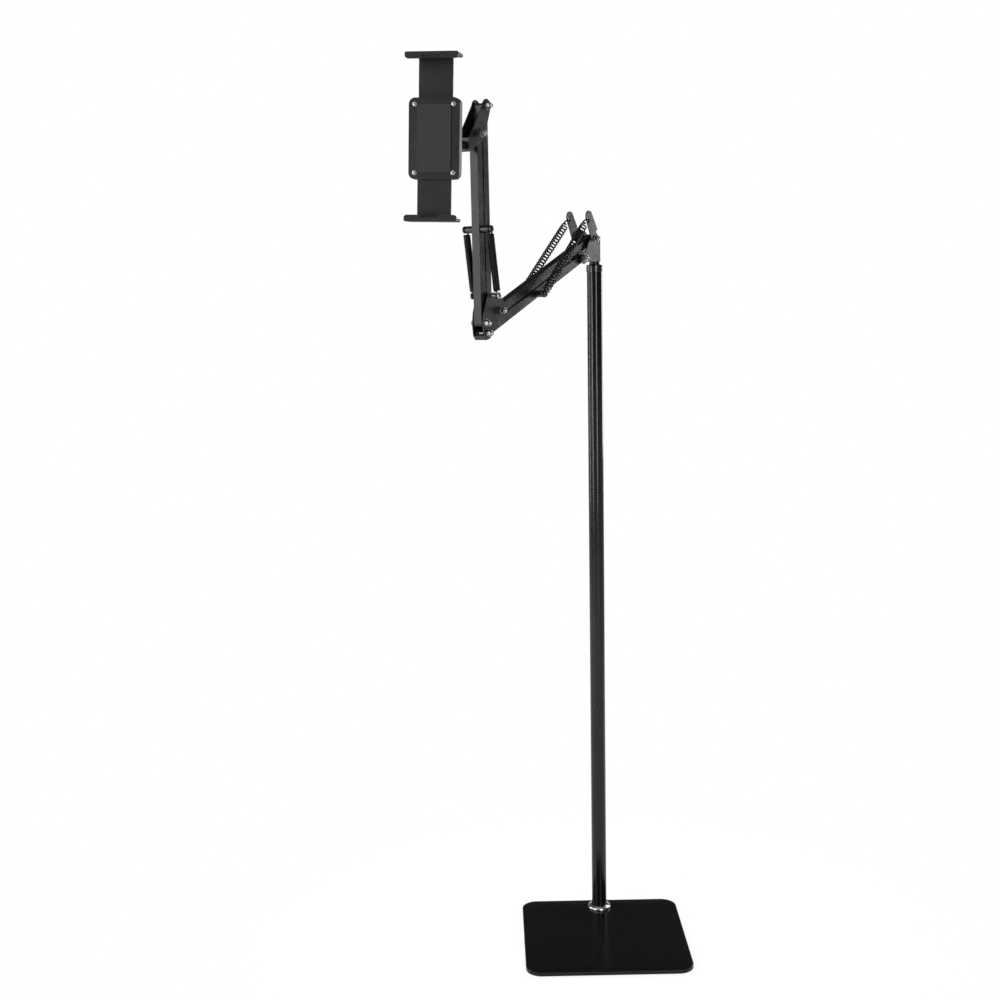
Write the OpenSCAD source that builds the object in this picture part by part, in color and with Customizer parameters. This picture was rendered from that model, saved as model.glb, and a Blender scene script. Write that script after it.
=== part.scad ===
// Adjustable tablet floor stand: weighted base, three-piece pole, spring-balanced double arm, clamp holder.
// Forward means away from the pole within the arm's plane, and near and far are the arm's two sides.

/* [Base] */
// Side of the square base plate
base_side = 250; // [200:5:320]
// Thickness of the base plate
base_thickness = 6.5; // [5.5:0.5:9]
// Radius of the base plate's corners
base_corner_radius = 24; // [8:1:32]
// Bevel along the base plate's upper and lower edges
base_bevel = 1; // [0.4:0.1:1.6]
// Distance from the pole's axis to the plate's rear edge
pole_edge_distance = 25.5; // [22:0.5:60]
// Diameter of a rubber foot pad
foot_diameter = 24; // [14:1:34]
// Thickness of a rubber foot pad
foot_thickness = 1.5; // [1:0.25:3]
// Distance from a foot pad's centre to the plate's two nearest edges
foot_inset = 24; // [18:1:40]
// Thread diameter of the bolt that holds the pole on the plate
base_bolt_diameter = 8; // [6:1:10]

/* [Pole] */
// Outer diameter of the pole
pole_diameter = 23.5; // [22:0.5:28]
// Wall of the pole's tubes
pole_wall = 1.2; // [1:0.1:1.8]
// Length of one of the three pole sections
section_length = 343.5; // [240:0.5:400]
// Length of a joiner between two pole sections
joiner_length = 44; // [30:1:70]
// Outer diameter of the polished collar at the pole's foot
collar_diameter = 37; // [32:0.5:44]
// Height of the polished collar
collar_height = 5.5; // [4:0.5:9]
// Height of the cap's rim on top of the pole
cap_height = 8.5; // [6:0.5:14]

/* [Arm] */
// Direction of the arm's plane, turned from straight sideways towards the viewer
arm_heading = 56; // [0:1:90]
// Distance between the pivots of a lower bar
lower_arm_length = 280; // [220:1:340]
// Distance between the pivots of an upper bar
upper_arm_length = 250; // [190:1:320]
// Slope of the lower arm, downwards from the pole
lower_arm_slope = 21.7; // [8:0.1:23]
// Forward lean of the upper arm from upright
upper_arm_lean = 0.6; // [0:0.1:20]
// Side of an arm bar's square section
bar_side = 12; // [10:0.25:12.5]
// Wall of an arm bar
bar_wall = 1.2; // [0.8:0.1:1.8]
// Diameter of the pivot bolts
pivot_diameter = 5; // [4:0.25:5.5]

/* [Brackets] */
// Thickness of the bracket plates
plate_thickness = 1.6; // [1.2:0.1:2]
// Thickness of a nylon spacer between a bar and a bracket plate
spacer_thickness = 1.6; // [1.2:0.1:2]
// Height of the upper head pivot above the head bracket's web
head_pivot_rise = 35; // [33:0.5:42]
// Forward offset of the upper head pivot from the pole's axis
head_pivot_forward = 14; // [13:0.5:20]
// Forward offset from a bracket's upper bar pivot to its lower bar pivot
lower_link_forward = 33.5; // [32:0.5:38]
// Drop from a bracket's upper bar pivot to its lower bar pivot
lower_link_drop = 30; // [29.5:0.5:33]
// Backward offset from the front bar's pivot to the rear bar's pivot
upper_link_back = 14; // [13.5:0.5:18]
// Rise from the front bar's pivot to the rear bar's pivot
upper_link_rise = 36.5; // [32:0.5:44]
// Angle of the outward step in the head bracket's ears
ear_flare = 45; // [30:1:50]

/* [Springs] */
// Outer diameter of a lower arm spring
lower_spring_diameter = 11.5; // [8:0.25:12]
// Outer diameter of an upper arm spring
upper_spring_diameter = 9.5; // [8:0.25:11]
// Diameter of the spring wire
wire_diameter = 1.5; // [1:0.1:1.6]
// Turns of a lower arm spring
lower_spring_turns = 24.25; // [16.25:1:30.25]
// Turns of an upper arm spring
upper_spring_turns = 16; // [10:1:20]
// Length of a cross bar that carries two spring hooks
spring_bar_length = 47; // [44:0.5:54]
// Distance from the lower rear pivot to the lower spring bar
lower_anchor_distance = 140.5; // [110:0.5:180]
// Distance from the elbow pivot to the upper spring bar
upper_anchor_distance = 125; // [100:0.5:160]

/* [Holder] */
// Gap between the two jaws' rubber pads
jaw_gap = 194.5; // [170:0.5:220]
// Width of a jaw
jaw_width = 68; // [60:1:90]
// Depth of the slot between the backrest and a jaw's lip
slot_depth = 12; // [8:0.5:18]
// Thickness of a jaw's front lip
lip_thickness = 4; // [3:0.25:5]
// Width of the finger notch in a jaw's lip
notch_width = 23; // [12:1:34]
// Width of the holder's housing
housing_width = 66; // [64:1:90]
// Height of the holder's housing
housing_height = 100; // [90:1:110]
// Turn of the holder about the upright pan pivot
holder_pan = 21.6; // [-40:0.1:40]
// Lean of the holder about its facing direction, its top to the viewer's right
holder_roll = 2; // [-10:0.5:10]
// Length of the stem between the upper bracket and the pan pivot
stem_reach = 43.5; // [34:0.5:60]

/* [Hidden] */
$fn = 48;

// Colours
satin_black = [0.07, 0.07, 0.075];
moulded_black = [0.05, 0.05, 0.05];
rubber_black = [0.03, 0.03, 0.03];
zinc_bright = [0.72, 0.73, 0.75];
polished_bright = [0.85, 0.86, 0.88];
spring_black = [0.04, 0.04, 0.045];

// Clearances and the overrun of every cut
overrun = 1;
running_gap = 0.1;
seat_gap = 0.3;
slip_gap = 0.15;
turn_gap = 0.05;

// Base and pole
plate_top = foot_thickness + base_thickness;
pole_y = base_side / 2 - pole_edge_distance;
pole_inner = pole_diameter - 2 * pole_wall;
pole_top = plate_top + 3 * section_length;
base_head_diameter = base_bolt_diameter * 1.75;
base_head_height = base_thickness * 0.42;
base_washer_diameter = base_bolt_diameter * 2;
base_washer_thickness = base_thickness * 0.15;
insert_length = joiner_length * 0.7;

// Swivel post in the pole's cap
post_diameter = 10;
post_length = 46;
neck_height = 6.5;
neck_diameter = 16;
swivel_washer_thickness = 1.2;
post_thread_diameter = 8;
post_nut_height = 5;
post_nut_diameter = 14;
cap_top = pole_top + pole_wall * 1.5;
web_bottom = pole_top + neck_height;

// Bolts, nuts and washers of the pivots
bar_half = bar_side / 2;
plate_inner = bar_half + spacer_thickness + 2 * slip_gap;
plate_outer = plate_inner + plate_thickness;
plate_middle = (plate_inner + plate_outer) / 2;
bolt_radius = pivot_diameter / 2;
washer_radius = 5;
washer_thickness = 1;
nut_radius = 4.6;
nut_height = 4.6;
bolt_end = 3.4;
head_radius = 4.6;
head_height = 3.2;

// Pivots as [forward, height] in the arm's plane
slope_step = [cos(lower_arm_slope), -sin(lower_arm_slope)];
lean_step = [sin(upper_arm_lean), cos(upper_arm_lean)];
lower_link = [lower_link_forward, -lower_link_drop];
upper_link = [-upper_link_back, upper_link_rise];
elbow_pivot_forward = 4.5;
elbow_pivot_rise = 13.5;
head_top = [head_pivot_forward, web_bottom + head_pivot_rise];
head_low = head_top + lower_link;
elbow_top = head_top + lower_arm_length * slope_step;
elbow_low = elbow_top + lower_link;
elbow_front = elbow_low + [elbow_pivot_forward, elbow_pivot_rise];
elbow_rear = elbow_front + upper_link;
tip_front = elbow_front + upper_arm_length * lean_step;
tip_rear = tip_front + upper_link;

// Outline sizes of the brackets
lobe_radius = 9;
elbow_web_low = elbow_low + lobe_radius * [0.39, -1.02];
elbow_web_high = elbow_low + lobe_radius * [0.96, -0.36];
web_front = 20;
web_rear = 1.5;
ear_radius = 9.5;
ear_forward = 30.5;
ear_rise = 30;
ear_lean = 37;
ear_bend_height = 6.5;
ear_step_length = 11;
ear_bend_half = 14;
ear_base_front = 14;
ear_base_rear = 9;
eye_radius = 2.3;
eye_rim = 2.7;

// Springs and what they hook on
wire_radius = wire_diameter / 2;
groove_radius = 3;
spool_radius = 4.8;
groove_width = 2.6;
spool_round = 2;
spool_lip = 2.9;
pin_radius = 2;
hook_inner = groove_radius + seat_gap;
hook_radius = hook_inner + wire_radius;
ear_hook_radius = 4.8;
hook_open = 290;
coil_rise = 3;
curl_rings = 8;
wire_sides = 6;
hook_side = spring_bar_length / 2 - spool_lip - groove_width / 2;
lower_anchor = head_low + lower_anchor_distance * slope_step;
upper_anchor = elbow_front + upper_anchor_distance * lean_step;

// Ear eye, its spring hook and the ear's side at the hook
ear_centre = head_top + [ear_forward, ear_rise];
ear_up = [sin(ear_lean), cos(ear_lean)];
ear_across = [cos(ear_lean), -sin(ear_lean)];
ear_bend = head_top + ear_bend_height * ear_up + (([ear_forward, ear_rise] * ear_across) * ear_across);
ear_height = (ear_centre - ear_bend) * ear_up;
ear_overlap = plate_thickness * tan(ear_flare / 2);
ear_reach = lower_anchor - ear_centre;
ear_step = ear_reach / norm(ear_reach);
ear_eye = ear_centre + (ear_radius - eye_rim - eye_radius) * ear_step;
ear_hook = ear_centre + (ear_radius - eye_rim - seat_gap - wire_radius + ear_hook_radius) * ear_step;
ear_hook_side = plate_middle + ear_step_length * sin(ear_flare);
elbow_hook = elbow_rear + [0, hook_inner - bolt_radius - seat_gap];

// Stem, knuckle and swivel plate, as distances along the holder's facing direction from the pan pivot
top_web_forward = 28;
pan_drop = 16.85;
top_web = tip_front[0] + top_web_forward;
pan_axis = [top_web + plate_thickness + stem_reach, tip_front[1] - pan_drop];
stem_diameter = 11;
lug_radius = 9;
lug_thickness = 8;
fork_wall = 4;
knuckle_wall = 3;
fork_half = lug_thickness / 2 + slip_gap + fork_wall;
tilt_offset = 2 * lug_radius + knuckle_wall + 3 * seat_gap;
hub_radius = 5;
roll_screw_radius = 7.5;
roll_screw_height = 1.2;
swivel_disc_diameter = 38;
swivel_disc_thickness = 4;
swivel_disc_rear = tilt_offset + lug_radius + 5 * seat_gap;
pan_bolt_diameter = 5;
knob_radius = 9;
knob_height = 12;

// Holder housing and jaws
housing_rear = swivel_disc_rear + swivel_disc_thickness + seat_gap;
housing_floor = 3.2;
roll_screw_rear = housing_rear + housing_floor - roll_screw_height;
housing_corner = 8;
tongue_thickness = 3;
tongue_width = 44;
tongue_length = 92;
upper_tongue_rear = housing_rear + housing_floor + seat_gap;
lower_tongue_rear = upper_tongue_rear + tongue_thickness + seat_gap;
backrest_rear = lower_tongue_rear + tongue_thickness + seat_gap;
backrest_thickness = 3;
pad_thickness = 1.5;
slot_rear = backrest_rear + backrest_thickness + pad_thickness;
lip_rear = slot_rear + slot_depth;
jaw_pad_thickness = 1.5;
jaw_wall = 4.25;
jaw_inner = jaw_gap / 2 + jaw_pad_thickness;
jaw_outer = jaw_inner + jaw_wall;
jaw_corner = 4;
lip_drop = 4;
housing_screw_radius = 3;
housing_screw_inset = 8;

// Placing helpers
module arm_plane() {
  translate([0, pole_y, 0]) rotate([0, 0, 180 + arm_heading]) children();
}

module across(place) {
  translate([place[0], 0, place[1]]) rotate([-90, 0, 0]) children();
}

module sheet(from, thickness) {
  translate([0, from + thickness, 0]) rotate([90, 0, 0]) linear_extrude(thickness) children();
}

module both_sides() {
  children();
  mirror([0, 1, 0]) children();
}

module holder_place() {
  arm_plane() translate([pan_axis[0], 0, pan_axis[1]]) rotate([0, 0, holder_pan]) children();
}

module clamp_place() {
  holder_place() rotate([-holder_roll, 0, 0]) children();
}

// A solid of rounded outline between two circles of one plane
module strap(a, b, radius) {
  run = b - a;
  length = norm(run);
  translate(a) rotate(atan2(run[1], run[0])) union() {
    translate([0, -radius]) square([length, 2 * radius]);
    circle(radius);
    translate([length, 0]) circle(radius);
  }
}

// Square outline with round corners, centred
module rounded_square(size, radius) {
  square([size[0] - 2 * radius, size[1]], center = true);
  square([size[0], size[1] - 2 * radius], center = true);
  for (x = [-1, 1], y = [-1, 1]) {
    translate([x * (size[0] / 2 - radius), y * (size[1] / 2 - radius)]) circle(radius);
  }
}

// Base plate with bevelled edges, from prisms and corner revolves of one edge profile
module base_edge(reach) {
  polygon([
    [0, 0], [reach - base_bevel, 0], [reach, base_bevel], [reach, base_thickness - base_bevel],
    [reach - base_bevel, base_thickness], [0, base_thickness]
  ]);
}

module base_prism() {
  straight = base_side - 2 * base_corner_radius;
  translate([0, straight / 2, 0]) rotate([90, 0, 0]) linear_extrude(straight) {
    base_edge(base_side / 2);
    mirror([1, 0]) base_edge(base_side / 2);
  }
}

module base_plate() {
  corner = base_side / 2 - base_corner_radius;
  pocket = base_head_height + base_washer_thickness + slip_gap;
  color(satin_black) translate([0, 0, foot_thickness]) difference() {
    union() {
      base_prism();
      rotate([0, 0, 90]) base_prism();
      for (x = [-1, 1], y = [-1, 1]) {
        translate([x * corner, y * corner, 0]) rotate_extrude($fn = 72) base_edge(base_corner_radius);
      }
    }
    translate([0, pole_y, -overrun]) {
      cylinder(d = base_bolt_diameter + 2 * seat_gap, h = base_thickness + 2 * overrun);
    }
    translate([0, pole_y, -overrun]) {
      cylinder(d = base_washer_diameter + 2 * seat_gap, h = pocket + overrun);
    }
  }
}

// Five rubber pads: one near each corner and one in the middle
module rubber_feet() {
  place = base_side / 2 - foot_inset;
  corners = [for (x = [-1, 1], y = [-1, 1]) [x * place, y * place, 0]];
  color(rubber_black) for (spot = concat(corners, [[0, 0, 0]])) {
    translate(spot) cylinder(d = foot_diameter, h = foot_thickness);
  }
}

module base_washer() {
  pocket_top = foot_thickness + base_head_height + slip_gap;
  color(zinc_bright) translate([0, pole_y, pocket_top]) difference() {
    cylinder(d = base_washer_diameter, h = base_washer_thickness);
    translate([0, 0, -overrun]) {
      cylinder(d = base_bolt_diameter + 2 * slip_gap, h = base_washer_thickness + 2 * overrun);
    }
  }
}

module base_bolt() {
  key_width = base_bolt_diameter * 0.6;
  color(zinc_bright) translate([0, pole_y, foot_thickness + slip_gap]) difference() {
    union() {
      cylinder(d = base_head_diameter, h = base_head_height);
      cylinder(d = base_bolt_diameter, h = base_thickness + insert_length * 0.7);
    }
    translate([0, 0, -overrun]) cylinder(d = key_width, h = base_head_height * 0.6 + overrun, $fn = 6);
  }
}

module pole_collar() {
  inner = pole_diameter / 2 + slip_gap;
  outer = collar_diameter / 2;
  step = (outer - inner) / 2;
  color(polished_bright) translate([0, pole_y, plate_top]) rotate_extrude($fn = 72) {
    polygon(concat(
      [[inner, 0], [outer, 0], [outer, collar_height * 0.3]],
      [for (a = [15 : 15 : 90]) [
        inner + step + (outer - inner - step) * cos(a),
        collar_height * (0.3 + 0.5 * sin(a))
      ]],
      [[inner + step, collar_height], [inner, collar_height]]
    ));
  }
}

module foot_insert() {
  color(zinc_bright) translate([0, pole_y, plate_top]) difference() {
    cylinder(d = pole_inner - 2 * slip_gap, h = insert_length);
    translate([0, 0, -overrun]) {
      cylinder(d = base_bolt_diameter + 2 * running_gap, h = insert_length + 2 * overrun);
    }
  }
}

module pole_section(index) {
  color(satin_black) translate([0, pole_y, plate_top + index * section_length]) difference() {
    cylinder(d = pole_diameter, h = section_length, $fn = 72);
    translate([0, 0, -overrun]) cylinder(d = pole_inner, h = section_length + 2 * overrun, $fn = 72);
  }
}

module pole_lower() { pole_section(0); }
module pole_middle() { pole_section(1); }
module pole_upper() { pole_section(2); }

module pole_joiners() {
  color(zinc_bright) for (seam = [1, 2]) {
    translate([0, pole_y, plate_top + seam * section_length - joiner_length / 2]) {
      cylinder(d = pole_inner - 2 * slip_gap, h = joiner_length);
    }
  }
}

// Cap with a rim over the tube and a spigot inside it
module pole_cap() {
  rim_radius = pole_diameter / 2 + pole_wall * 0.7;
  spigot = post_length + pole_wall;
  color(moulded_black) translate([0, pole_y, pole_top]) difference() {
    rotate_extrude($fn = 72) polygon([
      [0, -spigot], [pole_inner / 2 - slip_gap, -spigot], [pole_inner / 2 - slip_gap, -slip_gap],
      [pole_inner / 2, slip_gap],
      [pole_diameter / 2 + slip_gap, slip_gap], [pole_diameter / 2 + slip_gap, -cap_height],
      [rim_radius, -cap_height], [rim_radius, pole_wall], [rim_radius - pole_wall / 2, pole_wall * 1.5],
      [0, pole_wall * 1.5]
    ]);
    translate([0, 0, -post_length]) {
      cylinder(d = post_diameter + 2 * turn_gap, h = post_length + 3 * pole_wall);
    }
  }
}

// Swivel post and the washer it turns on
module swivel_post() {
  shoulder = cap_top + swivel_washer_thickness + turn_gap;
  thread = plate_thickness + post_nut_height + bolt_end;
  color(satin_black) translate([0, pole_y, 0]) {
    translate([0, 0, pole_top - post_length + seat_gap]) {
      cylinder(d = post_diameter, h = post_length - seat_gap + neck_height);
    }
    translate([0, 0, shoulder]) cylinder(d = neck_diameter, h = web_bottom - shoulder);
    translate([0, 0, web_bottom - overrun]) cylinder(d = post_thread_diameter, h = thread + overrun);
  }
}

module swivel_washer() {
  color(moulded_black) translate([0, pole_y, cap_top]) difference() {
    cylinder(d = neck_diameter + pole_wall, h = swivel_washer_thickness);
    translate([0, 0, -overrun]) {
      cylinder(d = post_diameter + 2 * slip_gap, h = swivel_washer_thickness + 2 * overrun);
    }
  }
}

module post_nut() {
  color(zinc_bright) translate([0, pole_y, web_bottom + plate_thickness]) difference() {
    cylinder(d = post_nut_diameter, h = post_nut_height, $fn = 6);
    translate([0, 0, -overrun]) {
      cylinder(d = post_thread_diameter + 2 * running_gap, h = post_nut_height + 2 * overrun);
    }
  }
}

// Pivot hardware along one bracket's pivots
module pivot_bolts(places) {
  color(zinc_bright) for (place = places) across(place) {
    translate([0, 0, -plate_outer - washer_thickness]) {
      cylinder(r = bolt_radius, h = 2 * (plate_outer + washer_thickness) + nut_height + bolt_end);
    }
    translate([0, 0, -plate_outer - washer_thickness - head_height]) {
      cylinder(r = head_radius, h = head_height);
    }
  }
}

module pivot_nuts(places) {
  color(zinc_bright) for (place = places) across(place) translate([0, 0, plate_outer + washer_thickness]) {
    difference() {
      cylinder(r = nut_radius, h = nut_height, $fn = 6);
      translate([0, 0, -overrun]) cylinder(r = bolt_radius + running_gap, h = nut_height + 2 * overrun);
    }
  }
}

module pivot_washers(places) {
  color(zinc_bright) both_sides() for (place = places) across(place) translate([0, 0, plate_outer]) {
    difference() {
      cylinder(r = washer_radius, h = washer_thickness);
      translate([0, 0, -overrun]) {
        cylinder(r = bolt_radius + running_gap, h = washer_thickness + 2 * overrun);
      }
    }
  }
}

module pivot_spacers(places) {
  color(moulded_black) both_sides() for (place = places) across(place) {
    translate([0, 0, bar_half + slip_gap]) difference() {
      cylinder(r = washer_radius, h = spacer_thickness);
      translate([0, 0, -overrun]) {
        cylinder(r = bolt_radius + running_gap, h = spacer_thickness + 2 * overrun);
      }
    }
  }
}

module pivot_holes(places) {
  for (place = places) across(place) translate([0, 0, -2 * plate_outer]) {
    cylinder(r = bolt_radius + running_gap, h = 4 * plate_outer);
  }
}

// Head bracket: two plates on a bottom web, each with an ear that steps outward for a spring's hook
module head_plate_outline() {
  base = [0, web_bottom];
  difference() {
    union() {
      polygon([
        base + [-web_rear, 0],
        base + [head_low[0] - web_rear, 0],
        head_low + [-lobe_radius * 0.55, lobe_radius * 0.85],
        ear_bend + ear_bend_half * ear_across,
        ear_bend - ear_bend_half * ear_across,
        head_top + [-head_pivot_forward - web_rear, -bar_side / 4]
      ]);
      translate(head_low) circle(lobe_radius);
    }
    translate(base + [-web_rear - overrun, -lobe_radius * 2]) {
      square([head_low[0] - lobe_radius * 0.7 + web_rear + overrun, lobe_radius * 2]);
    }
  }
}

// Draws in the ear's own frame: along the bend and away from it
module ear_place() {
  translate([ear_bend[0], plate_inner, ear_bend[1]]) rotate([0, ear_lean, 0]) children();
}

module head_ear() {
  step_rise = ear_step_length * cos(ear_flare);
  eye = [(ear_eye - ear_bend) * ear_across, (ear_eye - ear_bend) * ear_up];
  ear_place() rotate([-ear_flare, 0, 0]) sheet(0, plate_thickness) polygon([
    [-ear_bend_half, 0], [ear_bend_half, 0],
    [ear_base_front, ear_step_length + ear_overlap], [-ear_base_rear, ear_step_length + ear_overlap]
  ]);
  ear_place() translate([0, ear_step_length * sin(ear_flare), 0]) difference() {
    sheet(0, plate_thickness) {
      polygon([
        [-ear_base_rear, step_rise - ear_overlap], [ear_base_front, step_rise - ear_overlap],
        [ear_radius, ear_height], [-ear_radius, ear_height]
      ]);
      translate([0, ear_height]) circle(ear_radius);
    }
    translate([eye[0], -plate_thickness, eye[1]]) rotate([-90, 0, 0]) {
      cylinder(r = eye_radius, h = 3 * plate_thickness);
    }
  }
}

module head_bracket() {
  color(satin_black) arm_plane() difference() {
    union() {
      both_sides() {
        sheet(plate_inner, plate_thickness) head_plate_outline();
        head_ear();
      }
      translate([-web_rear, -plate_outer, web_bottom]) {
        cube([web_front + web_rear, 2 * plate_outer, plate_thickness]);
      }
      translate([0, 0, web_bottom]) cylinder(d = neck_diameter, h = plate_thickness);
    }
    pivot_holes([head_top, head_low]);
    translate([0, 0, web_bottom - overrun]) {
      cylinder(d = post_thread_diameter + 2 * slip_gap, h = plate_thickness + 2 * overrun);
    }
  }
}

module head_bolts() { arm_plane() pivot_bolts([head_top, head_low]); }
module head_nuts() { arm_plane() pivot_nuts([head_top, head_low]); }
module head_washers() { arm_plane() pivot_washers([head_top, head_low]); }
module head_spacers() { arm_plane() pivot_spacers([head_top, head_low]); }

// Arm bar: a square tube with round ends, from one pivot to the other
module bar(from, to, pin_at) {
  run = to - from;
  length = norm(run);
  hollow = bar_side - 2 * bar_wall;
  difference() {
    sheet(-bar_half, bar_side) strap(from, to, bar_half);
    translate([from[0], 0, from[1]]) rotate([0, -atan2(run[1], run[0]), 0]) {
      translate([-bar_side, -hollow / 2, -hollow / 2]) cube([length + 2 * bar_side, hollow, hollow]);
    }
    pivot_holes([from, to]);
    if (pin_at > 0) {
      across(from + pin_at * run / length) translate([0, 0, -bar_side]) {
        cylinder(r = pin_radius + slip_gap, h = 2 * bar_side);
      }
    }
  }
}

module lower_top_bar() { color(satin_black) arm_plane() bar(head_top, elbow_top, 0); }
module lower_bottom_bar() {
  color(satin_black) arm_plane() bar(head_low, elbow_low, lower_anchor_distance);
}
module upper_front_bar() {
  color(satin_black) arm_plane() bar(elbow_front, tip_front, upper_anchor_distance);
}
module upper_rear_bar() { color(satin_black) arm_plane() bar(elbow_rear, tip_rear, 0); }

// Cross bar for two spring hooks: a steel pin with a grooved spool at each end
module spring_pin(place) {
  half = spring_bar_length / 2 - spool_round / 2;
  color(zinc_bright) across(place) translate([0, 0, -half]) cylinder(r = pin_radius, h = 2 * half);
}

module spring_spools(place) {
  inner = bar_half + slip_gap;
  outer = spring_bar_length / 2;
  color(moulded_black) both_sides() across(place) difference() {
    rotate_extrude() polygon(concat(
      [[0, inner], [spool_radius, inner], [spool_radius, hook_side - groove_width / 2]],
      [[groove_radius, hook_side - groove_width / 2], [groove_radius, hook_side + groove_width / 2]],
      [for (a = [0 : 15 : 90]) [
        spool_radius - spool_round + spool_round * cos(a), outer - spool_round + spool_round * sin(a)
      ]],
      [[0, outer]]
    ));
    cylinder(r = pin_radius + turn_gap, h = outer - spool_round / 2 + turn_gap);
  }
}

module lower_spring_pin() { arm_plane() spring_pin(lower_anchor); }
module lower_spring_spools() { arm_plane() spring_spools(lower_anchor); }
module upper_spring_pin() { arm_plane() spring_pin(upper_anchor); }
module upper_spring_spools() { arm_plane() spring_spools(upper_anchor); }

// Balance spring: hook, half turn out to the coil, the curls, half turn in, hook, all one path
function hook_points(radius) = [for (i = [0 : curl_rings - 1])
  let (a = hook_open * (1 - i / curl_rings)) radius * [-sin(a), 0, cos(a)]];

function curl_points(length, turns, coil, radius) =
  let (start = radius + coil_rise, end = length - hook_radius - coil_rise)
  let (pitch = (end - start) / turns, half = curl_rings / 2)
  concat(
    [for (i = [0 : half - 1]) let (a = 180 * i / half) [
      coil * sin(a / 2) * cos(a), coil * sin(a / 2) * sin(a),
      radius + coil_rise * i / half]],
    [for (i = [0 : turns * curl_rings]) let (a = 180 + 360 * i / curl_rings) [
      coil * cos(a), coil * sin(a), start + pitch * i / curl_rings]],
    [for (i = [1 : half]) let (a = 180 * i / half, b = 180 + 360 * turns + a) [
      coil * cos(a / 2) * cos(b), coil * cos(a / 2) * sin(b),
      end + coil_rise * i / half]]
  );

function last_hook_points(length, turns) = [for (i = [1 : curl_rings])
  let (a = hook_open * i / curl_rings, b = 360 * (turns + 1))
  [-hook_radius * sin(a) * cos(b), -hook_radius * sin(a) * sin(b), length - hook_radius * cos(a)]];

function spring_path(length, turns, coil, radius) = concat(
  hook_points(radius), curl_points(length, turns, coil, radius), last_hook_points(length, turns));

function unit(v) = v / norm(v);

function tangents(path) = [for (i = [0 : len(path) - 1])
  unit(path[min(i + 1, len(path) - 1)] - path[max(i - 1, 0)])];

function square_to(v, along) = unit(v - (v * along) * along);

function side_vectors(along) = [
  for (i = 0, side = square_to([0, 1, 0], along[0]); i < len(along);
    side = square_to(side, along[min(i + 1, len(along) - 1)]), i = i + 1) side];

function ring_points(path) = let (along = tangents(path), side = side_vectors(along)) [
  for (i = [0 : len(path) - 1], k = [0 : wire_sides - 1])
    let (a = 360 * k / wire_sides)
    path[i] + wire_radius * (cos(a) * side[i] + sin(a) * cross(along[i], side[i]))];

function tube_faces(rings) = concat(
  [for (k = [1 : wire_sides - 2]) [0, k, k + 1]],
  [for (k = [1 : wire_sides - 2]) (rings - 1) * wire_sides * [1, 1, 1] + [0, k + 1, k]],
  [for (i = [0 : rings - 2], k = [0 : wire_sides - 1], half = [0, 1])
    let (a = i * wire_sides + k, b = i * wire_sides + (k + 1) % wire_sides)
    half == 0 ? [a, a + wire_sides, b] : [b, a + wire_sides, b + wire_sides]]
);

function least_gap(path) = min([for (i = [0 : len(path) - 1], j = [i + curl_rings * 3 / 4 : len(path) - 1])
  norm(path[i] - path[j])]) - wire_diameter;

module wire(path) {
  polyhedron(points = ring_points(path), faces = tube_faces(len(path)));
}

// A spring between two places [forward, side, height], by its outer diameter and first hook's radius
module spring(from, to, turns, diameter, radius, hook_turn) {
  run = to - from;
  length = norm(run);
  path = spring_path(length, turns, diameter / 2 - wire_radius, radius);
  echo(least_gap = least_gap(path), triangles = len(tube_faces(len(path))));
  color(spring_black) translate(from) {
    rotate([0, acos(run[2] / length), atan2(run[1], run[0])]) rotate([0, 0, hook_turn]) wire(path);
  }
}

module lower_spring(side) {
  arm_plane() spring(
    [ear_hook[0], side * ear_hook_side, ear_hook[1]],
    [lower_anchor[0], side * hook_side, lower_anchor[1]],
    lower_spring_turns, lower_spring_diameter, ear_hook_radius, 90);
}

module upper_spring(side) {
  arm_plane() spring(
    [upper_anchor[0], side * hook_side, upper_anchor[1]],
    [elbow_hook[0], side * hook_side, elbow_hook[1]],
    upper_spring_turns, upper_spring_diameter, hook_radius, 0);
}

module lower_spring_near() { lower_spring(1); }
module lower_spring_far() { lower_spring(-1); }
module upper_spring_near() { upper_spring(1); }
module upper_spring_far() { upper_spring(-1); }

// Elbow bracket: two plates round the four elbow pivots, joined by a short web at the lowest corner
module elbow_outline() {
  polygon([
    elbow_low + [-lobe_radius * 0.45, -lobe_radius * 0.78],
    elbow_web_low,
    elbow_web_high,
    elbow_front + lobe_radius * [0.72, -0.13],
    elbow_front + [lobe_radius * 0.45, upper_link_rise * 0.4],
    elbow_rear + lobe_radius * [0.98, 0.22],
    elbow_rear + [lobe_radius * 0.5, lobe_radius * 0.5],
    elbow_rear + [-lobe_radius, lobe_radius * 0.5],
    elbow_top + [-lobe_radius * 0.4, lobe_radius * 1.75],
    elbow_top + [-lobe_radius * 0.85, lobe_radius * 0.9],
    elbow_top + [-lobe_radius * 0.6, -lobe_radius * 0.75]
  ]);
  translate(elbow_top) circle(lobe_radius);
  translate(elbow_low - [lobe_radius * 0.1, 0]) circle(lobe_radius * 0.9);
}

module elbow_bracket() {
  color(satin_black) arm_plane() difference() {
    union() {
      both_sides() sheet(plate_inner, plate_thickness) elbow_outline();
      sheet(-plate_outer, 2 * plate_outer) {
        polygon([
          elbow_web_low, elbow_web_high,
          elbow_web_high + plate_thickness * [-0.62, 0.62],
          elbow_web_low + plate_thickness * [-0.62, 0.62]
        ]);
      }
    }
    pivot_holes([elbow_top, elbow_low, elbow_front, elbow_rear]);
  }
}

module elbow_bolts() { arm_plane() pivot_bolts([elbow_top, elbow_low, elbow_front]); }
module elbow_nuts() { arm_plane() pivot_nuts([elbow_top, elbow_low, elbow_front]); }
module elbow_washers() { arm_plane() pivot_washers([elbow_top, elbow_low, elbow_front]); }
module elbow_spacers() { arm_plane() pivot_spacers([elbow_top, elbow_low, elbow_front, elbow_rear]); }

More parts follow.
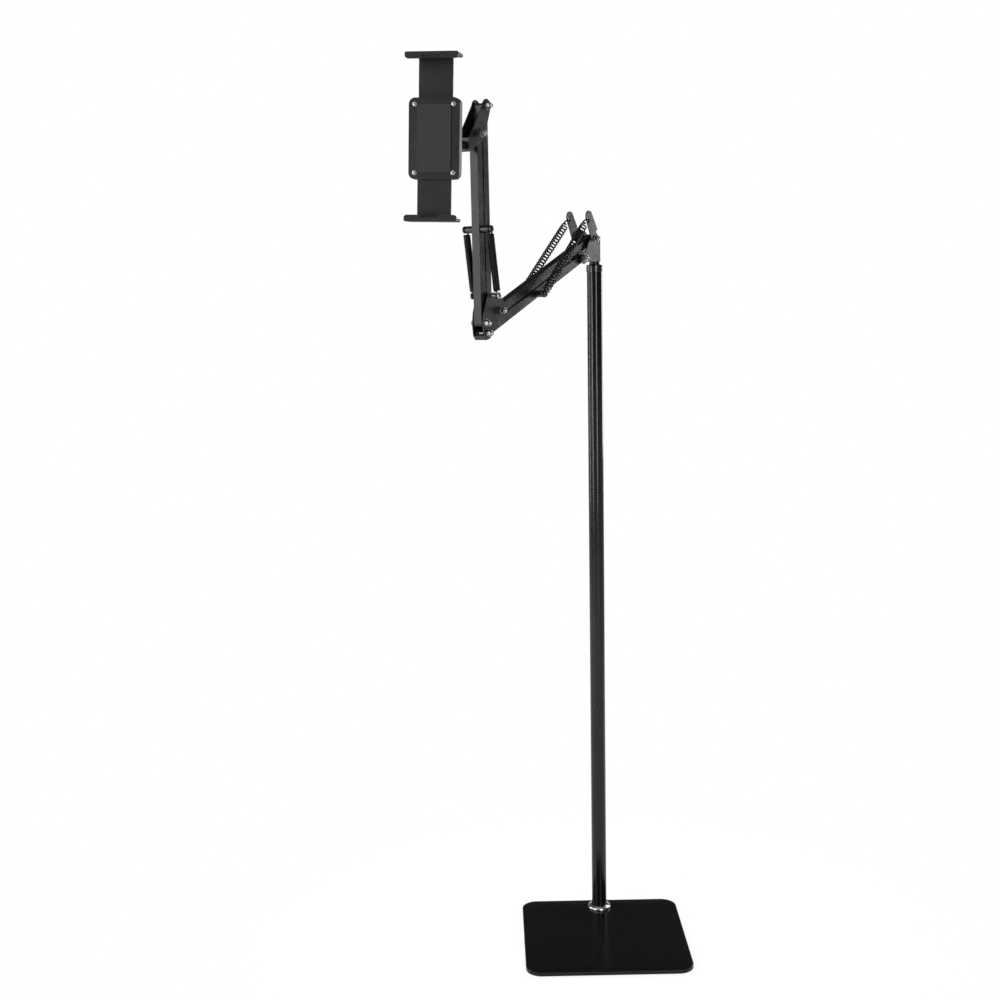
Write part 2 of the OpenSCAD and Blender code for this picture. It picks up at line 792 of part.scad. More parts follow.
// Long bolt through the rear bar's pivot, with round heads that keep the spring hooks on
module elbow_spring_bolt() {
  half = hook_side + groove_width + seat_gap;
  color(zinc_bright) arm_plane() across(elbow_rear) {
    translate([0, 0, -half]) cylinder(r = bolt_radius, h = 2 * half);
    both_sides_up() translate([0, 0, half - spool_round / 2]) cylinder(r = head_radius, h = head_height);
  }
}

module both_sides_up() {
  children();
  mirror([0, 0, 1]) children();
}

// Upper bracket: two plates joined by a front web that carries the holder's stem
module top_outline() {
  strap(tip_front, tip_rear, lobe_radius);
  polygon([
    tip_front + [-lobe_radius * 0.4, -lobe_radius * 0.8],
    [top_web, pan_axis[1] - lobe_radius],
    [top_web, pan_axis[1] + lobe_radius],
    tip_rear + [lobe_radius * 0.8, lobe_radius * 0.4]
  ]);
}

module top_bracket() {
  color(satin_black) arm_plane() difference() {
    union() {
      both_sides() sheet(plate_inner, plate_thickness) top_outline();
      translate([top_web, -plate_outer, pan_axis[1] - lobe_radius]) {
        cube([plate_thickness, 2 * plate_outer, 2 * lobe_radius]);
      }
    }
    pivot_holes([tip_front, tip_rear]);
    translate([top_web - overrun, 0, pan_axis[1]]) rotate([0, 90, 0]) {
      cylinder(r = bolt_radius + 2 * running_gap, h = plate_thickness + 2 * overrun);
    }
  }
}

module top_bolts() { arm_plane() pivot_bolts([tip_front, tip_rear]); }
module top_nuts() { arm_plane() pivot_nuts([tip_front, tip_rear]); }
module top_washers() { arm_plane() pivot_washers([tip_front, tip_rear]); }
module top_spacers() { arm_plane() pivot_spacers([tip_front, tip_rear]); }

// Stem: a rod through the upper bracket's web with a flat lug at the pan pivot
module holder_stem() {
  shoulder = top_web + plate_thickness;
  reach = pan_axis[0] - shoulder;
  color(satin_black) arm_plane() translate([0, 0, pan_axis[1]]) difference() {
    union() {
      translate([shoulder, 0, 0]) rotate([0, 90, 0]) {
        cylinder(d = stem_diameter, h = reach - lug_radius * 1.3);
      }
      translate([top_web - nut_height - bolt_end, 0, 0]) rotate([0, 90, 0]) {
        cylinder(r = bolt_radius, h = nut_height + bolt_end + plate_thickness + overrun);
      }
      translate([pan_axis[0] - lug_radius * 1.4, -lug_radius * 0.6, -lug_thickness / 2]) {
        cube([lug_radius * 1.2, lug_radius * 1.2, lug_thickness]);
      }
      translate([pan_axis[0], 0, -lug_thickness / 2]) cylinder(r = lug_radius, h = lug_thickness);
    }
    translate([pan_axis[0], 0, -lug_thickness]) {
      cylinder(d = pan_bolt_diameter + 2 * running_gap, h = 2 * lug_thickness);
    }
  }
}

module stem_nut() {
  color(zinc_bright) arm_plane() translate([top_web, 0, pan_axis[1]]) rotate([0, -90, 0]) difference() {
    cylinder(r = nut_radius, h = nut_height, $fn = 6);
    translate([0, 0, -overrun]) cylinder(r = bolt_radius + running_gap, h = nut_height + 2 * overrun);
  }
}

// Pan knuckle: a fork above and below the stem's lug, and an upright tongue in front of it
module pan_knuckle() {
  fork_inner = lug_thickness / 2 + slip_gap;
  fork_outer = fork_inner + fork_wall;
  bridge = lug_radius + 2 * slip_gap;
  tongue_half = lug_thickness / 2;
  color(moulded_black) holder_place() difference() {
    union() {
      for (low = [-fork_outer, fork_inner]) translate([0, 0, low]) {
        cylinder(r = lug_radius, h = fork_wall);
        translate([0, -lug_radius, 0]) cube([bridge + knuckle_wall, 2 * lug_radius, fork_wall]);
      }
      translate([bridge, -lug_radius, -fork_outer]) {
        cube([knuckle_wall, 2 * lug_radius, 2 * fork_outer]);
      }
      translate([bridge, -tongue_half, -lug_radius]) {
        cube([tilt_offset - bridge, lug_thickness, 2 * lug_radius]);
      }
      translate([tilt_offset, -tongue_half, 0]) rotate([-90, 0, 0]) {
        cylinder(r = lug_radius, h = lug_thickness);
      }
    }
    translate([0, 0, -2 * fork_outer]) {
      cylinder(d = pan_bolt_diameter + 2 * running_gap, h = 4 * fork_outer);
    }
    translate([tilt_offset, -lug_thickness, 0]) rotate([-90, 0, 0]) {
      cylinder(d = pan_bolt_diameter + 2 * running_gap, h = 2 * lug_thickness);
    }
    translate([0, 0, -fork_inner]) cylinder(r = bridge, h = 2 * fork_inner);
  }
}

module pan_bolt() {
  color(zinc_bright) holder_place() {
    translate([0, 0, -fork_half]) cylinder(d = pan_bolt_diameter, h = 2 * fork_half);
    translate([0, 0, fork_half]) cylinder(r = head_radius, h = head_height);
    translate([0, 0, -fork_half - nut_height]) cylinder(r = nut_radius, h = nut_height, $fn = 6);
  }
}

// Swivel plate: a fork round the knuckle's tongue behind the round disc that the holder turns on
module swivel_plate() {
  inner = lug_thickness / 2 + slip_gap;
  color(moulded_black) holder_place() difference() {
    union() {
      both_sides() translate([tilt_offset, inner, 0]) {
        rotate([-90, 0, 0]) cylinder(r = lug_radius, h = fork_wall);
        translate([0, 0, -lug_radius]) {
          cube([swivel_disc_rear - tilt_offset + slip_gap, fork_wall, 2 * lug_radius]);
        }
      }
      translate([swivel_disc_rear, 0, 0]) rotate([0, 90, 0]) {
        cylinder(d = swivel_disc_diameter, h = swivel_disc_thickness, $fn = 72);
        cylinder(r = hub_radius, h = roll_screw_rear - swivel_disc_rear);
      }
    }
    translate([tilt_offset, -2 * fork_half, 0]) rotate([-90, 0, 0]) {
      cylinder(d = pan_bolt_diameter + 2 * running_gap, h = 4 * fork_half);
    }
    translate([swivel_disc_rear - overrun, 0, 0]) rotate([0, 90, 0]) {
      cylinder(r = hub_radius / 2 + turn_gap, h = roll_screw_rear - swivel_disc_rear + 2 * overrun);
    }
  }
}

// Flat screw in the plate's hub that keeps the housing on the disc and lets it turn
module roll_screw() {
  shank = roll_screw_rear - swivel_disc_rear;
  color(zinc_bright) holder_place() translate([roll_screw_rear, 0, 0]) rotate([0, 90, 0]) difference() {
    union() {
      cylinder(r = roll_screw_radius, h = roll_screw_height);
      translate([0, 0, -shank]) cylinder(r = hub_radius / 2, h = shank + roll_screw_height / 2);
    }
    translate([0, 0, roll_screw_height / 2]) cylinder(r = hub_radius / 2, h = roll_screw_height, $fn = 6);
  }
}

module tilt_bolt() {
  color(zinc_bright) holder_place() translate([tilt_offset, 0, 0]) rotate([-90, 0, 0]) {
    translate([0, 0, -fork_half - head_height]) cylinder(r = head_radius, h = head_height);
    translate([0, 0, -fork_half]) cylinder(d = pan_bolt_diameter, h = 2 * fork_half + knob_height * 0.7);
  }
}

// Clamping knob with a scalloped grip
module tilt_knob() {
  grip_count = 8;
  grip_radius = knob_radius * 0.24;
  base = fork_half + slip_gap;
  color(moulded_black) holder_place() translate([tilt_offset, base, 0]) rotate([-90, 0, 0]) difference() {
    union() {
      cylinder(r = knob_radius * 0.6, h = knob_height);
      translate([0, 0, knob_height * 0.3]) cylinder(r = knob_radius, h = knob_height * 0.7);
    }
    for (k = [0 : grip_count - 1]) rotate([0, 0, 360 * k / grip_count]) {
      translate([knob_radius + grip_radius * 0.4, 0, -overrun]) {
        cylinder(r = grip_radius, h = knob_height + 2 * overrun);
      }
    }
    translate([0, 0, -overrun]) {
      cylinder(d = pan_bolt_diameter + 2 * turn_gap, h = knob_height * 0.7 + overrun);
    }
  }
}

// Standing board across the holder's facing direction: an outline given as [side, height]
module board(rear, thickness) {
  translate([rear, 0, 0]) rotate([90, 0, 90]) linear_extrude(thickness) children();
}

module screw_places() {
  for (y = [-1, 1], z = [-1, 1]) {
    translate([
      y * (housing_width / 2 - housing_screw_inset),
      z * (housing_height / 2 - housing_screw_inset)
    ]) children();
  }
}

// Housing: an open-fronted channel for the two jaw tongues, turning on the swivel plate's disc
module holder_housing() {
  depth = backrest_rear - housing_rear;
  channel = tongue_width + 2 * seat_gap;
  color(moulded_black) clamp_place() difference() {
    board(housing_rear, depth) rounded_square([housing_width, housing_height], housing_corner);
    board(housing_rear + housing_floor, depth) {
      square([channel, housing_height + 2 * overrun], center = true);
    }
    board(housing_rear + housing_floor, depth) screw_places() circle(housing_screw_radius * 0.4);
    board(housing_rear - overrun, depth) circle(hub_radius + running_gap);
    board(roll_screw_rear - turn_gap, depth) circle(roll_screw_radius + slip_gap);
  }
}

module backrest() {
  color(moulded_black) clamp_place() difference() {
    board(backrest_rear, backrest_thickness) {
      rounded_square([housing_width, housing_height], housing_corner);
    }
    board(backrest_rear - overrun, backrest_thickness + 2 * overrun) {
      screw_places() circle(housing_screw_radius * 0.5 + running_gap);
    }
  }
}

module backrest_pad() {
  color(rubber_black) clamp_place() board(slot_rear - pad_thickness, pad_thickness) {
    rounded_square([tongue_width, housing_height - 2 * housing_corner], housing_corner / 2);
  }
}

module housing_screws() {
  shank_rear = housing_rear + housing_floor + slip_gap;
  color(zinc_bright) clamp_place() {
    board(backrest_rear + backrest_thickness, pad_thickness * 0.7) {
      screw_places() circle(housing_screw_radius);
    }
    board(shank_rear, backrest_rear + backrest_thickness - shank_rear + slip_gap) {
      screw_places() circle(housing_screw_radius * 0.4 - slip_gap / 2);
    }
  }
}

// Jaw: a flat tongue, a shelf across its end and a notched lip in front of the slot
module jaw(tongue_rear) {
  lip_low = jaw_inner - lip_drop;
  tongue_low = jaw_outer - tongue_length - jaw_wall;
  board(tongue_rear, tongue_thickness) {
    translate([-tongue_width / 2, tongue_low]) square([tongue_width, tongue_length + jaw_wall / 2]);
  }
  board(tongue_rear, lip_rear + lip_thickness - tongue_rear) translate([0, (jaw_inner + jaw_outer) / 2]) {
    rounded_square([jaw_width, jaw_wall], min(jaw_corner, jaw_wall * 0.45));
  }
  board(lip_rear, lip_thickness) difference() {
    translate([0, (lip_low + jaw_outer) / 2]) {
      rounded_square([jaw_width, jaw_outer - lip_low], jaw_corner);
    }
    translate([-notch_width / 2, lip_low - overrun]) square([notch_width, lip_drop + overrun]);
  }
}

module jaw_pad() {
  board(slot_rear, slot_depth) translate([0, jaw_gap / 2 + jaw_pad_thickness / 2]) {
    square([jaw_width - 2 * jaw_corner, jaw_pad_thickness], center = true);
  }
}

module upper_jaw() { color(moulded_black) clamp_place() jaw(upper_tongue_rear); }
module upper_jaw_pad() { color(rubber_black) clamp_place() jaw_pad(); }
module lower_jaw() { color(moulded_black) clamp_place() mirror([0, 0, 1]) jaw(lower_tongue_rear); }
module lower_jaw_pad() { color(rubber_black) clamp_place() mirror([0, 0, 1]) jaw_pad(); }

base_plate();
rubber_feet();
base_bolt();
base_washer();
pole_collar();
foot_insert();
pole_lower();
pole_middle();
pole_upper();
pole_joiners();
pole_cap();
swivel_post();
swivel_washer();
post_nut();
head_bracket();
head_bolts();
head_nuts();
head_washers();
head_spacers();
lower_top_bar();
lower_bottom_bar();
lower_spring_pin();
lower_spring_spools();
lower_spring_near();
lower_spring_far();
elbow_bracket();
elbow_bolts();
elbow_nuts();
elbow_washers();
elbow_spacers();
elbow_spring_bolt();
upper_front_bar();
upper_rear_bar();
upper_spring_pin();
upper_spring_spools();
upper_spring_near();
upper_spring_far();
top_bracket();
top_bolts();
top_nuts();
top_washers();
top_spacers();
holder_stem();
stem_nut();
pan_knuckle();
pan_bolt();
swivel_plate();
roll_screw();
tilt_bolt();
tilt_knob();
holder_housing();
backrest();
backrest_pad();
housing_screws();
upper_jaw();
upper_jaw_pad();
lower_jaw();
lower_jaw_pad();
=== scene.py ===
"""Looks of an adjustable tablet floor stand: coated base and pole, two spring-balanced double arms
and a tilting clamp holder.

The stand's lengths are in millimetres until a mesh is made of them, and its places are those of its
own CAD frame: +Z up, the pole behind the middle of the base, the arm swung forward to the left. The
floor, the lamps and the camera are placed in metres.
"""
import math

import bmesh
import bpy
import numpy as np
from mathutils import Matrix, Vector


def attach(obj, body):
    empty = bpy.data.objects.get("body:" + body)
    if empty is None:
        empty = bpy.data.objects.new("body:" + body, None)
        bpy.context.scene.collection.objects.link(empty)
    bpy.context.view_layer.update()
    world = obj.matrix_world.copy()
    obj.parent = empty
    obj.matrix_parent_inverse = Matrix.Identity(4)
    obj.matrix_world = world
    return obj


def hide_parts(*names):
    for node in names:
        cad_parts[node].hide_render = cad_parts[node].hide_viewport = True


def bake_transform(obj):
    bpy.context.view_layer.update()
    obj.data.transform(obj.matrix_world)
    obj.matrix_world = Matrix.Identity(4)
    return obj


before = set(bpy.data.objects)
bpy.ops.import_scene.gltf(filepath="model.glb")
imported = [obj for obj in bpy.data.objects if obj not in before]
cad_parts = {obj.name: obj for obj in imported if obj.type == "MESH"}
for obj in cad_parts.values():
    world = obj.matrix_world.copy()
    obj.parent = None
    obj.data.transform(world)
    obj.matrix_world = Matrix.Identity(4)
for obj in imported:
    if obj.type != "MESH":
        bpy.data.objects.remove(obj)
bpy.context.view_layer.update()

MM = 0.001
TURN = 2 * np.pi
QUARTER_ARC = np.linspace(0, np.pi / 2, 6)
HEX_SIDES = 72             # columns of every shape with a hexagon in it

# Sizes of the stand, as in its CAD source. Base plate, its pads, the pole and what sits round it
BASE_SIDE, BASE_CORNER, BASE_LOW, BASE_TOP, BASE_BEVEL = 250.0, 24.0, 1.5, 8.0, 1.0
FOOT_RADIUS, FOOT_REACH = 12.0, 101.0
POLE_Y, POLE_RADIUS, POLE_WALL, SECTION = 99.5, 11.75, 1.2, 343.5
POLE_TOP = BASE_TOP + 3 * SECTION
COLLAR_BORE, COLLAR_RADIUS = 11.9, 18.5
CAP_RADIUS, CAP_GAP = POLE_RADIUS + POLE_WALL * 0.7, 0.15
CAP_SKIRT, CAP_HEIGHT, CAP_ROUND, CAP_BORE = 8.5, 1.8, 1.4, 5.05
TURNING_RADIUS, TURNING_THICKNESS, TURNING_BORE = 8.6, 1.2, 5.15

# Swivel post under the head bracket's web
POST_RADIUS, POST_DEPTH, POST_REST, POST_FLANGE, POST_THREAD = 5.0, 40.0, 3.05, 8.0, 4.0
POST_NUT_RADIUS, POST_NUT_HEIGHT, POST_END, POST_PITCH = 7.0, 5.0, 6.8, 1.1
WEB_BOTTOM, WEB_THICKNESS = 1045.0, 1.6

# Fasteners: half sizes count from the arm's plane
PLATE_OUTER, BAR_HALF = 9.5, 6.0
BOLT_RADIUS, NUT_RADIUS, NUT_HEIGHT, BOLT_END = 2.5, 4.6, 4.6, 3.4
WASHER_RADIUS, WASHER_THICKNESS, SPACER_THICKNESS = 5.0, 1.0, 1.6
HEAD_RADIUS, HEAD_HEIGHT, HEAD_SOCKET = 4.6, 3.2, 3.0
NUT_PLAY, WASHER_PLAY, BAR_PLAY = 0.05, 0.1, 0.15

# Places in the arm's plane: forward of the pole's axis, and height
HEAD_TOP, HEAD_LOW = (14.0, 1080.0), (47.5, 1050.0)
ELBOW_TOP, ELBOW_LOW = (274.157, 976.471), (307.657, 946.471)
ELBOW_FRONT, ELBOW_REAR = (312.157, 959.971), (298.157, 996.471)
TIP_FRONT, TIP_REAR = (314.775, 1209.957), (300.775, 1246.457)
LOWER_ANCHOR, UPPER_ANCHOR = (178.043, 998.051), (313.466, 1084.964)
EAR_HOOK, ELBOW_HOOK = (52.585, 1103.22), (298.157, 996.971)
PAN = (387.875, 1193.107)
TOP_WEB = 342.775

# Spring pins, spools, hooks, and the long rod that carries two of the hooks
PIN_RADIUS, PIN_HALF = 2.0, 22.5
SPOOL_RADIUS, SPOOL_BORE, SPOOL_END, SPOOL_NOSE = 4.8, 2.05, 23.5, 2.0
GROOVE_RADIUS, GROOVE_HALF = 3.0, 1.3
HOOK_SIDE, HOOK_RADIUS = 19.3, 4.05
EAR_HOOK_SIDE, EAR_HOOK_RADIUS = 16.478, 4.8
ROD_HALF = HOOK_SIDE + 2.9

# Holder: ahead of the pan pivot, and across
TILT_OFFSET, FORK_HALF, TILT_THREAD = 21.9, 8.15, 8.4
BACKREST_FRONT, SLOT_REAR, SLOT_DEPTH = 49.8, 51.3, 12.0
JAW_GAP, JAW_WIDTH, JAW_CORNER, JAW_PAD = 194.5, 68.0, 4.0, 1.5
HOUSING_WIDTH, HOUSING_HEIGHT, HOUSING_CORNER, TONGUE_WIDTH = 66.0, 100.0, 8.0, 44.0
SCREW_INSET, SCREW_RADIUS, SCREW_HEIGHT = 8.0, 3.0, 1.05

# Rounding of the edges that softened() breaks
PLATE_EDGE, STEM_EDGE, BAR_EDGE, BLOCK_EDGE, SHELL_EDGE = 0.35, 0.5, 0.6, 0.7, 0.8

# Directions: forward along the arm and to its near side, the holder's facing and across it, and the
# clamp's own up and side, which lean a little about the facing direction
UP = np.array([0.0, 0.0, 1.0])
ARM_HEADING = math.radians(236.0)
HOLDER_HEADING = math.radians(236.0 + 21.6)
HOLDER_ROLL = math.radians(2.0)
FORWARD = np.array([math.cos(ARM_HEADING), math.sin(ARM_HEADING), 0.0])
NEAR = np.array([-math.sin(ARM_HEADING), math.cos(ARM_HEADING), 0.0])
FACING = np.array([math.cos(HOLDER_HEADING), math.sin(HOLDER_HEADING), 0.0])
LATERAL = np.array([-math.sin(HOLDER_HEADING), math.cos(HOLDER_HEADING), 0.0])
CLAMP_UP = math.cos(HOLDER_ROLL) * UP + math.sin(HOLDER_ROLL) * LATERAL
CLAMP_SIDE = math.cos(HOLDER_ROLL) * LATERAL - math.sin(HOLDER_ROLL) * UP
POLE_FOOT = np.array([0.0, POLE_Y, 0.0])


def on_pole(height):
    """A point of the pole's axis."""
    return POLE_FOOT + height * UP


def on_arm(place, side=0.0):
    """A point of the arm's plane, forward and height, moved side towards the near plate."""
    return POLE_FOOT + place[0] * FORWARD + side * NEAR + place[1] * UP


def on_holder(ahead, side=0.0, height=0.0):
    """A point of the holder: ahead of the pan pivot, to its side and above it."""
    return on_arm(PAN) + ahead * FACING + side * LATERAL + height * UP


def on_clamp(ahead, side=0.0, height=0.0):
    """A point of the housing and jaws, along the clamp's own side and up."""
    return on_holder(ahead) + side * CLAMP_SIDE + height * CLAMP_UP


# ---------------------------------------------------------------- shapes


def finished(mesh, name, body, material, nodes, crease):
    """Turns a finished mesh into a piece that rides on a body and stands for its CAD nodes."""
    mesh.shade_smooth()
    mesh.set_sharp_from_angle(angle=math.radians(crease))
    piece = bpy.data.objects.new(name, mesh)
    bpy.context.scene.collection.objects.link(piece)
    mesh.materials.clear()
    mesh.materials.append(material)
    if body:
        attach(piece, body)
    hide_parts(*nodes)
    return piece


def surface(name, grids, body, material, nodes, crease=34):
    """One piece from grids of points (rows, columns, 3) in mm. Each grid is a closed strip round
    its columns; neighbouring rows are joined by quads, rows that shrink to a point become a pole,
    and the last row is joined to the first where the grid says so."""
    points, faces, start = [], [], 0
    for grid, joined in grids:
        rows, columns = grid.shape[:2]
        index = start + np.arange(rows * columns).reshape(rows, columns)
        below = index if joined else index[:-1]
        above = np.roll(index, -1, 0) if joined else index[1:]
        quads = np.stack([below, np.roll(below, -1, 1), np.roll(above, -1, 1), above], -1)
        points.append(grid.reshape(-1, 3))
        faces.append(quads.reshape(-1, 4))
        start += rows * columns
    mesh = bpy.data.meshes.new(name)
    mesh.from_pydata(np.concatenate(points) * MM, [], np.concatenate(faces).tolist())
    shell = bmesh.new()
    shell.from_mesh(mesh)
    bmesh.ops.remove_doubles(shell, verts=shell.verts, dist=1e-7)
    bmesh.ops.recalc_face_normals(shell, faces=shell.faces)
    shell.to_mesh(mesh)
    shell.free()
    return finished(mesh, name, body, material, nodes, crease)


def around(sides):
    """Even angles of one turn, without the last that falls on the first."""
    return np.linspace(0, TURN, sides, endpoint=False)


def turned(rows, centre, axis, sides=64):
    """Rings round an axis: each row is (radius, height), numbers or arrays over the angle.
    Point = centre + radius (cos a U + sin a V) + height axis, with U, V square to the axis."""
    axis = np.asarray(axis, float)
    first = np.cross(UP if abs(axis[2]) < 0.9 else FORWARD, axis)
    first /= np.linalg.norm(first)
    second = np.cross(axis, first)
    angle = around(sides)
    radius = np.stack([np.broadcast_to(r, sides) for r, _ in rows])[..., None]
    height = np.stack([np.broadcast_to(h, sides) for _, h in rows])[..., None]
    spoke = np.cos(angle)[:, None] * first + np.sin(angle)[:, None] * second
    return np.asarray(centre, float) + radius * spoke + height * axis


def shank(centre, axis, low, high, radius=BOLT_RADIUS, sides=36):
    """Plain round rod along an axis, from low to high."""
    rows = [(0.0, low), (radius, low), (radius, high), (0.0, high)]
    return turned(rows, centre, axis, sides), False


def hexagon(across_flats):
    """Radius of a hexagon over the angle: half the flat width / cos(angle from a flat's middle)."""
    return across_flats / 2 / np.cos((around(HEX_SIDES) + np.pi / 6) % (np.pi / 3) - np.pi / 6)


def nut(centre, axis, radius, height, bore):
    """Hexagon nut: a hexagon prism cut at both ends by a cone of about 30 degrees, with countersunk
    bore mouths."""
    flats, mouth, steps = radius * math.sqrt(3), 0.35, 4
    six = hexagon(flats)
    tops = [(np.minimum(six, flats / 2 * 0.96 + k * 0.22 * radius / steps),
             k * 0.13 * radius / steps) for k in range(steps + 1)]
    rows = [(bore, height / 2), (bore, mouth), (bore + mouth, 0.0)] + tops
    rows += [(r, height - h) for r, h in reversed(tops)]
    rows += [(bore + mouth, height), (bore, height - mouth)]
    return turned(rows, centre, axis, HEX_SIDES), True


def thread(centre, axis, radius, length, pitch=0.8):
    """Threaded end: the radius falls by depth (0.5 - 0.5 cos(2 pi height / pitch - angle)), and the
    tip is chamfered."""
    depth, play, chamfer, tip_play, sides = 0.34, 0.05, 0.7, 0.2, 36
    height = np.linspace(0, length, int(length / pitch * 10) + 2)
    wave = 0.5 - 0.5 * np.cos(TURN * height[:, None] / pitch - around(sides)[None])
    body = radius - play - depth * wave
    tip = radius - tip_play - np.clip(height - (length - chamfer), 0, None)[:, None]
    rows = [(0.0, 0.0)] + list(zip(np.minimum(body, tip), height)) + [(0.0, length)]
    return turned(rows, centre, axis, sides), False


def button_head(centre, axis):
    """Round domed head with a hexagon socket; the rows run from the socket's floor over the dome to
    the underside."""
    radius, height, six = HEAD_RADIUS, HEAD_HEIGHT, hexagon(HEAD_SOCKET)
    dome = [(radius * (0.14 + 0.86 * math.cos(a)), height * (0.25 + 0.75 * math.sin(a)))
            for a in np.linspace(math.radians(62), 0, 7)]
    rows = [(0.0, height * 0.35), (six * 0.98, height * 0.42), (six, height * 0.92),
            (six + 0.25, height)]
    rows += dome + [(radius, height * 0.12), (radius - 0.25, 0.0), (0.0, 0.0)]
    return turned(rows, centre, axis, HEX_SIDES), False


def screw_head(centre, axis, radius, height):
    """Pan head with a cross recess: over the angle, the recess has the outline of two crossed slots
    with a round core where they meet."""
    slot_end, slot_half, core, sides = radius * 0.58, radius * 0.13, radius * 0.17, 96
    near_slot = np.abs((around(sides) + np.pi / 4) % (np.pi / 2) - np.pi / 4)
    cross = np.minimum(slot_end, slot_half / np.maximum(np.sin(near_slot), 1e-3))
    cross = np.maximum(cross, core)
    rows = [(0.0, height * 0.25), (cross * 0.55, height * 0.3), (cross, height * 0.97),
            (cross + 0.08, height)]
    rows += [(np.maximum(radius * math.cos(a), cross + 0.12), height * (0.55 + 0.45 * math.sin(a)))
             for a in np.linspace(math.radians(50), 0, 6)]
    rows += [(radius, 0.0), (0.0, 0.0)]
    return turned(rows, centre, axis, sides), False


def washer(centre, axis, radius, thickness, bore):
    """Flat washer with rounded outer edges."""
    edge = thickness * 0.3
    corner = [(radius - edge, 0.0), (radius - edge * 0.3, edge * 0.3), (radius, edge)]
    rows = [(bore, 0.0)] + corner + [(r, thickness - h) for r, h in reversed(corner)]
    return turned(rows + [(bore, thickness)], centre, axis, 48), True


def rounded_square(half_x, half_y, corner):
    """Outline points of a rounded rectangle, counter-clockwise: four corner arcs joined by straight
    runs."""
    arc_points, run_points = 14, 12
    corner_angle = np.linspace(0, np.pi / 2, arc_points)
    arcs = []
    for k, (sx, sy) in enumerate([(1, 1), (-1, 1), (-1, -1), (1, -1)]):
        a = corner_angle + k * np.pi / 2
        arcs.append(np.stack([sx * (half_x - corner) + corner * np.cos(a),
                              sy * (half_y - corner) + corner * np.sin(a)], -1))
    ring = []
    share = np.linspace(0, 1, run_points + 2)[1:-1, None]
    for k in range(4):
        start, end = arcs[k][-1], arcs[(k + 1) % 4][0]
        ring += [arcs[k], start + share * (end - start)]
    return np.concatenate(ring)


def slab(half_x, half_y, corner, profile, inner_rows):
    """Rings of a rounded rectangle in its own plane: profile rows (inset, height) go from the lower
    face's edge over the side to the upper face's edge, and both faces shrink to their centre."""
    rings = []
    for inset, height in profile:
        outline = rounded_square(half_x - inset, half_y - inset, max(corner - inset, 0.2))
        rings.append(np.column_stack([outline, np.full(len(outline), height)]))
    low, high = rings[0], rings[-1]
    share = np.linspace(0, 1, inner_rows)[:, None, None]
    under = share[:-1] * (low * [1, 1, 0])[None] + [0, 0, low[0, 2]]
    over = (1 - share[1:]) * (high * [1, 1, 0])[None] + [0, 0, high[0, 2]]
    return np.concatenate([under, np.stack(rings), over])


def set_up(grid, centre, across, up, out):
    """Places a slab: its x, y and height run along the given directions from the centre."""
    return centre + grid[..., :1] * across + grid[..., 1:2] * up + grid[..., 2:] * out


def softened(name, node, body, material, width, segments):
    """A CAD node's own shape with its edges rounded: a merged copy, its flat triangles joined into
    faces, then bevelled where two faces meet at more than 28 degrees."""
    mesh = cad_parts[node].data.copy()
    shell = bmesh.new()
    shell.from_mesh(mesh)
    bmesh.ops.remove_doubles(shell, verts=shell.verts, dist=2e-6)
    bmesh.ops.dissolve_limit(shell, angle_limit=math.radians(0.6), verts=shell.verts,
                             edges=shell.edges)
    sharp = [e for e in shell.edges
             if len(e.link_faces) == 2 and e.calc_face_angle(0) > math.radians(28)]
    bmesh.ops.bevel(shell, geom=sharp, offset=width * MM, segments=segments, profile=0.5,
                    affect="EDGES", clamp_overlap=True)
    shell.to_mesh(mesh)
    shell.free()
    if mesh.has_custom_normals:
        mesh.attributes.remove(mesh.attributes["custom_normal"])
    piece = finished(mesh, name, body, material, [node], 40)
    even = piece.modifiers.new("flat_faces_stay_flat", "WEIGHTED_NORMAL")
    even.keep_sharp, even.weight = True, 100


def wound(points, radius, sides):
    """Round wire along a path: at each point a circle in the plane square to the path, turned as
    little as can be from the circle before; both ends close to a point."""
    along = np.gradient(points, axis=0)
    along /= np.linalg.norm(along, axis=1)[:, None]
    side = np.empty_like(points)
    side[0] = np.cross(along[0], [0.3, 0.5, 0.81])
    for i in range(1, len(points)):
        side[i] = side[i - 1] - (side[i - 1] @ along[i]) * along[i]
        side[i] /= np.linalg.norm(side[i])
    side[0] = side[1]
    up = np.cross(along, side)
    angle = around(sides)
    ring = np.cos(angle)[None, :, None] * side[:, None] + np.sin(angle)[None, :, None] * up[:, None]
    first, last = (np.repeat(end, sides, 0)[None] for end in (points[:1], points[-1:]))
    return np.concatenate([first, points[:, None] + radius * ring, last]), False


